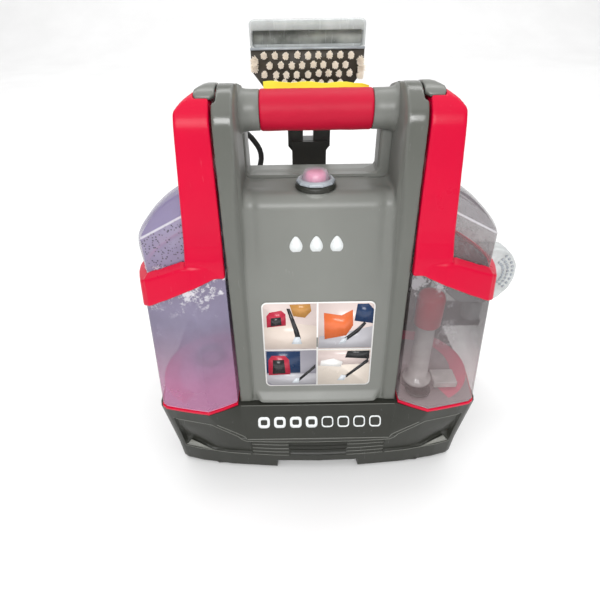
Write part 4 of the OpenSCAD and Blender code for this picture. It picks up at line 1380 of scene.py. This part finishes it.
def tank_body(side, name, body, material):
    rings = []
    for z in [FLOOR_Z, FLOOR_Z + 1.4] + [92 + 9.4 * k for k in range(15)]:
        inset = -1.0 if z < FLOOR_Z + 1 else 0.0
        ring = []
        for x, y in tank_path(min(z, BELT_Z), inset):
            cap = belt_high(x) - 4.5
            ring.append((x, y, min(z, cap) if z > 180 else z))
        ring += [(80, 9, z), (80, -20, z), (80, -60, z)]
        rings.append(ring)
    count = len(rings[0])
    steps = [(0, k / 7) for k in range(8)] + [(1, (k / 13) ** 1.1) for k in range(1, 14)]
    for above, t in steps:
        def height(x):
            crease = along(WINDOW_CREASE, x)
            return lerp(crease, 294.3, t) if above else lerp(222, crease, t)

        z = height(150)
        x_out = along(DOME_SIDE, z)
        lean = clamp01((z - 256) / 40)
        x_front = min(147.5, x_out - lerp(6, 9, lean))
        y_corner = upper_front(x_front, height(x_front))
        rear = lerp(6, -6, lean * lean)
        y_side = lerp(-42, -34, lean)
        ring = [(x, upper_front(x, height(x)), height(x)) for x in
                [lerp(80.8, x_front - 1.6, k / 12) for k in range(13)]]
        ring += [(x_front - 0.3, y_corner + 0.5, lerp(height(x_front), z, 0.3)),
                 (x_front + 0.6, y_corner + 1.8, lerp(height(x_front), z, 0.6))]
        ring += [(lerp(x_front + 0.6, x_out, math.sin(math.pi / 2 * k / 5)), lerp(y_corner + 1.8, y_side, k / 5), z)
                 for k in range(1, 6)]
        r = min(30.0, (rear - y_side) * 0.8)
        ring += [(x, y, z) for x, y in arc(x_out - r, rear - r, r, 0, 90, 8)]
        ring += [(lerp(x_out - r, 80.8, k / 3), rear, z) for k in range(1, 3)]
        extra = count - len(ring)
        for k in range(extra):
            share = k / max(1, extra)
            ring.append((80.8, lerp(rear, -60, share), lerp(z, height(80.8), share)))
        rings.append(ring)
    rings = [[(side * x, y, z) for x, y, z in ring] for ring in rings]
    obj = loft(name + "_piece", rings, material)
    obj.data.set_sharp_from_angle(angle=math.radians(24))
    obj.visible_shadow = False
    return place(obj, body, (name,))


ARCH_X, ARCH_Y = 104.0, -46.0


BORE_AT = {-1: (-118, -30, 0), 1: (101, -70, 0)}
BORE_R = {-1: 20.0, 1: 15.0}


def tray(side, name):
    """Red tray under a tank: a thin rim, a pale floor, and the raised arch that shows through."""
    def ring(inset, z):
        cx, cy = 122.0, -48.0
        out = []
        loop = tank_path(FLOOR_Z, 0.8) + [(79.3, 14.6), (79.3, -40)]
        for x, y in loop:
            gx, gy = x - cx, y - cy
            size = math.hypot(gx, gy)
            out.append((side * (x - gx / size * inset), y - gy / size * inset, z))
        return out

    def bored(obj):
        cutter = lathe("bore", [(BORE_R[side], 80), (BORE_R[side], 92)], BORE_AT[side], mat["red"])
        hole = obj.modifiers.new("bore", "BOOLEAN")
        hole.operation = "DIFFERENCE"
        hole.solver = "EXACT"
        hole.object = cutter
        out = join(obj.name, [obj])
        bpy.data.objects.remove(cutter)
        return out

    rings = [ring(0.2, 84.0), ring(0, 84.5), ring(0, 86.4), ring(0.6, 87.0), ring(3, 87.0)]
    obj = bored(loft(name + "_piece", rings, mat["red"]))
    obj.data.set_sharp_from_angle(angle=math.radians(40))
    place(obj, "chassis", (name,))
    fog = [ring(1.5, 87.1), ring(1.6, 87.5), ring(3.0, 87.6)]
    place(bored(loft(name + "_floor", fog, mat["fog" if side > 0 else "blush"])), "chassis")
    outer, inner = (58, 41) if side > 0 else (60, 44)

    def half(r, z):
        arch = [(ARCH_X + r * math.cos(math.radians(a)), ARCH_Y + r * math.sin(math.radians(a)))
                for a in range(-62, 100, 4)]
        return [(side * max(80.5, x), y, z) for x, y in arch]

    sheet = [half(outer, 87.0), half(outer, 87.8), half(outer - 1, 87.9), half(inner + 1, 87.9), half(inner, 87.0)]
    place(loft(name + "_arch", sheet, mat["arch"], closed=False), "chassis")


def dirty_tank_inside():
    """Riser, float cup, round inlet and pale outlet block of the right-hand tank."""
    x, y = 104, -72

    def turned(name, profile, cx, cy, material):
        rings = []
        for r, z in profile:
            rings.append([(cx + r * math.cos(k * math.pi / 20), cy + r * math.sin(k * math.pi / 20), z)
                          for k in range(40)])
        return loft(name, rings, material)

    pipe = [(10.5, 88.1), (10.5, 90.5), (14.2, 91.2), (14.6, 93.5), (13.9, 95.4), (9.9, 97), (9.4, 130),
            (8.6, 167.5), (7.6, 167.9), (7.6, 130), (8.0, 88.1)]
    place(turned("riser_pipe_piece", pipe, x, y, mat["pipe"]), "dirty_tank", ("riser_pipe",))
    cup = [(0.01, 190), (10.2, 190), (10.4, 163.6), (11.8, 163.4), (12.6, 165), (12.8, 192), (11.4, 196.4),
           (8.5, 198), (0.01, 198.4)]
    place(turned("float_piece", cup, x, y, mat["red"]), "float", ("float",))
    inlet = [(0.01, 88.4), (11.5, 88.4), (12.4, 89.4), (12.4, 91.6), (11.4, 92.2), (9.6, 91.4), (9.2, 89.4),
             (0.01, 89.0)]
    place(turned("inlet_ring", inlet, 102, -86, mat["black"]), "dirty_tank")
    place(block("outlet_block", (119, -84, 88.4), (143, -64, 96), mat["pipe"], 1.2), "dirty_tank")


# ---- Hand tool ----


def head_outline(half, z0, z1, cut, r=3.0):
    out = [(-half + cut, z0), (half - cut, z0), (half, z0 + cut * 1.3)]
    out += arc(half - r, z1 - r, r, 0, 90, 5) + arc(-half + r, z1 - r, r, 90, 180, 5)
    return out + [(-half, z0 + cut * 1.3)]


HEAD_X = TOOL_X - 1.5
HEAD_HALF = 53.4


def brush_head():
    outline = head_outline(HEAD_HALF, 348, 381, 11, 1.0)
    rings = []
    for y, d in ((-13.9, 0.5), (-13.4, 0), (-6.4, 0), (-6.1, 0.4)):
        rings.append([(HEAD_X + x * (1 - d / 56), TOOL_Y + y, z) for x, z in outline])
    place(loft("brush_plate_piece", rings, mat["plate"]), "tool_head", ("tool_brush_plate",))
    rng = random.Random(11)
    parts = []
    rows = ((376.0, 9, 40.6, 10.1), (368.0, 8, 35.2, 10.1), (360.2, 9, 40.6, 10.1), (352.8, 8, 31.0, 8.9))
    tufts = [(x0 * -1 + k * pitch, z, 1.0) for z, count, x0, pitch in rows for k in range(count)]
    tufts += [(-48.5, 371.5, 1.35), (-49.5, 365.5, 1.4), (49, 370.5, 1.35), (50, 364.5, 1.4), (48.5, 358.6, 1.1)]
    for x, z, size in tufts:
        edge = abs(x) > 46
        lean_x = rng.uniform(-0.9, 0.9) + (1.6 * (-1 if x < 0 else 1) if edge else 0)
        lean_z = rng.uniform(-0.9, 0.5)
        hairs = 34
        for h in range(hairs):
            a, spread = 2 * math.pi * h * 0.382, math.sqrt((h + 0.5) / hairs)
            bx, bz = x + 1.9 * spread * math.cos(a), z + 1.9 * spread * math.sin(a)
            wide = (3.0 + rng.uniform(-0.25, 0.35)) * spread * size
            tx = x + lean_x + wide * math.cos(a)
            tz = z + lean_z + wide * 1.1 * math.sin(a)
            tip = -20.9 + rng.uniform(0, 0.5) + 1.5 * spread ** 2
            thin = []
            for y, cx, cz, r in ((-13.6, bx, bz, 0.42), (-17.2, lerp(bx, tx, 0.5), lerp(bz, tz, 0.5), 0.5),
                                 (tip + 0.3, tx, tz, 0.46), (tip, tx, tz, 0.25)):
                thin.append([(HEAD_X + cx + r * math.cos(k * math.pi / 3), TOOL_Y + y, cz + r * math.sin(k * math.pi / 3))
                             for k in range(6)])
            parts.append(thin)
    bm = bmesh.new()
    for thin in parts:
        verts = [[bm.verts.new(at(*p)) for p in ring] for ring in thin]
        for r0, r1 in zip(verts, verts[1:]):
            for i in range(6):
                bm.faces.new((r0[i], r0[(i + 1) % 6], r1[(i + 1) % 6], r1[i]))
        bm.faces.new(verts[-1])
        bm.faces.new(verts[0])
    obj = new_object("bristle_tufts", bm, mat["bristle"])
    place(obj, "tool_head", ("tool_bristles",))


def nozzle():
    """Clear suction nozzle: a wide mouth with a thick top lip over a back plate that hugs the brush."""
    def box_ring(x0, x1, z0, z1, y, r):
        return [(HEAD_X + x, TOOL_Y + y, z) for x, z in round_rect(x0, z0, x1, z1, r)]

    w = HEAD_HALF
    outer = [(-16.0, 1.0, 4), (-15.2, 0.2, 4), (-13.5, 0, 4), (4.0, 0, 4), (7.0, 0.8, 4), (8.0, 2.2, 3)]
    inner = [(6.2, 2.6, 2.6), (-12.5, 2.2, 2.6), (-15.8, 1.8, 2.6)]
    rings = [box_ring(-w + d, w - d, 380.4 + d * 0.6, 404 - d, y, r) for y, d, r in outer]
    rings += [box_ring(-w + d, w - d, 381.0 + d * 0.5, 395.6, y, r) for y, d, r in inner]
    hood = loft("hood", rings + [rings[0]], mat["nozzle"], capped=False)
    outline = head_outline(w + 0.3, 352.4, 384, 11, 1.0)
    plates = []
    for y, d in ((-5.8, 0.3), (-5.2, 0), (7.2, 0), (7.9, 0.8)):
        plates.append([(HEAD_X + x * (1 - d / 56), TOOL_Y + y, z) for x, z in outline])
    back = loft("back", plates, mat["nozzle"])
    place(join("tool_nozzle_piece", [hood, back]), "tool_head", ("tool_nozzle",))
    lip = [[(HEAD_X + x, TOOL_Y + y, z) for y, z in ((-16.1, 380.0), (-16.6, 381.2), (-16.2, 382.2), (-13.8, 382.0),
                                                     (-13.8, 380.2))] for x in (-w, -30, 0, 30, w)]
    place(loft("nozzle_lip", lip, mat["ring"]), "tool_head")
    throat = [[(HEAD_X + x, TOOL_Y + y, z) for x, z in round_rect(-w + 2, 382, w - 2, 396, 2.5)]
              for y in (-3.6, -2.8)]
    place(loft("nozzle_throat", throat, mat["throat"]), "tool_head")


NECK_STEPS = {290: 278, 297: 285, 303: 291, 307: 296.6}


def neck(x, y, z):
    """The fork of the hand tool reaches a little lower than its plain solid."""
    for level, lower in NECK_STEPS.items():
        if abs(z - level) < 0.06:
            shift = -1.0 if level == 307 else 0.0
            return (x + shift, y, lower)
    return (x, y, z)


def spare_nozzle():
    """Clear spare nozzle with curved rows of nubs."""
    outline = [(168, 127), (200, 127), (211, 134), (220, 146), (223.5, 160), (222, 176), (215, 188), (205, 195.5),
               (160, 195.5), (151, 189), (150, 178), (150, 142)]
    smooth = []
    for k, p in enumerate(outline):
        q = outline[(k + 1) % len(outline)]
        smooth += [(lerp(p[0], q[0], t), lerp(p[1], q[1], t)) for t in (0.12, 0.88)]
    rings = []
    cx, cz = 190.0, 164.0
    for y, d in ((12.2, 3.2), (12.0, 1.6), (13.4, 0), (30, 0), (34.6, 1.2), (36, 3.4), (35, 6.0), (18, 6.4), (14.6, 9)):
        ring = []
        for x, z in smooth:
            gx, gz = cx - x, cz - z
            size = math.hypot(gx, gz)
            ring.append((x + gx / size * d, y, z + gz / size * d))
        rings.append(ring)
    shell = loft("shell", rings, mat["nozzle"])
    socket = [(7.1, 100.4), (10.9, 100.4), (11, 101), (11, 124), (7.1, 124)]
    ring_set = [[(190 + r * math.cos(k * math.pi / 16), 24 + r * math.sin(k * math.pi / 16), z) for k in range(32)]
                for r, z in socket + [socket[0]]]
    cuff = loft("cuff", ring_set, mat["nozzle"], capped=False)
    nubs = []
    for row, reach in enumerate((27, 22, 17)):
        for k in range(9):
            a = math.radians(-38 + k * 11.5)
            x, z = 192 + reach * math.cos(a), 166 + reach * math.sin(a)
            nubs.append(lathe(f"nub{row}_{k}", [(0.01, 11.0), (1.0, 11.1), (1.5, 11.6), (1.7, 13.0)], (x, 0, z),
                              mat["ring"], "y", 10))
    place(join("spare_nozzle_piece", [shell, cuff]), "spare_nozzle", ("spare_nozzle",))
    place(join("spare_nozzle_nubs", nubs), "spare_nozzle")


# ---- Everything in its place ----

base_shell()
base_edge_highlights()
front_cover()
opening_rim()
handle_ends()
grip()
tape()
button()
label()
marks()
for side, name in ((-1, "clean"), (1, "dirty")):
    body = name + "_tank"
    arm(side, body + "_arm", body)
    latch(side, name + "_latch", name + "_latch")
    see_through = mat["lilac"] if side < 0 else mat["clear"]
    tank_body(side, body, body, see_through)
    tray(side, "cradle_left" if side < 0 else "cradle_right")
dirty_tank_inside()
brush_head()
nozzle()
spare_nozzle()

CORD_PARTS = ("mains_lead", "cord_winding", "loose_turn")
WARPS = {"rear_cover": behind_opening, "tool_body": neck}
shown = [n for n in NODES if n not in CORD_PARTS and not NODES[n].hide_render]
for name in shown:
    rounded(name, warp=WARPS.get(name))

cord.data.materials.append(mat["rubber"])
place(cord, "chassis", CORD_PARTS)


# ---- Floor, light ----


def make_floor():
    bm = bmesh.new()
    reach = 30.0
    turn = [(3.5 + 2 * math.sin(a * math.pi / 20), 2 - 2 * math.cos(a * math.pi / 20)) for a in range(1, 11)]
    sweep = [(-reach, 0.0), (3.5, 0.0)] + turn + [(5.5, 9.0)]
    rows = [[bm.verts.new((x, y, z - 0.0004)) for x in (-reach, reach)] for y, z in sweep]
    for r0, r1 in zip(rows, rows[1:]):
        bm.faces.new((r0[0], r0[1], r1[1], r1[0]))
    s = Shader("floor", (0.86, 0.86, 0.86), 0.7)
    s.link(s.steps(s.noise(3.0), (0.3, 0.84), (0.7, 0.88)), "Base Color")
    obj = new_object("floor", bm, s.mat)


def area_light(name, place_at, target, size, power, color=(1, 1, 1)):
    data = bpy.data.lights.new(name, "AREA")
    data.shape = "RECTANGLE"
    data.size, data.size_y = size
    data.energy = power
    data.color = color
    obj = bpy.data.objects.new(name, data)
    bpy.context.scene.collection.objects.link(obj)
    obj.location = place_at
    obj.rotation_euler = (Vector(target) - Vector(place_at)).to_track_quat("-Z", "Y").to_euler()
    return obj


def make_light():
    world = bpy.data.worlds.new("studio")
    world.use_nodes = True
    sky = world.node_tree.nodes["Background"]
    sky.inputs["Color"].default_value = (1, 1, 1, 1)
    sky.inputs["Strength"].default_value = 0.42
    bpy.context.scene.world = world
    middle = (MID_X, 0.0, 0.2)
    area_light("key", (-0.15, -1.65, 1.06), middle, (1.4, 0.42), 23)
    area_light("top", (0.0, -0.15, 1.7), middle, (3.0, 2.4), 18)
    area_light("back", (0.0, 1.9, 4.2), (0.0, 4.4, 0.4), (9.0, 2.0), 210)


make_floor()
make_light()
scene = bpy.context.scene
scene.view_settings.view_transform = "Standard"
scene.view_settings.look = "None"
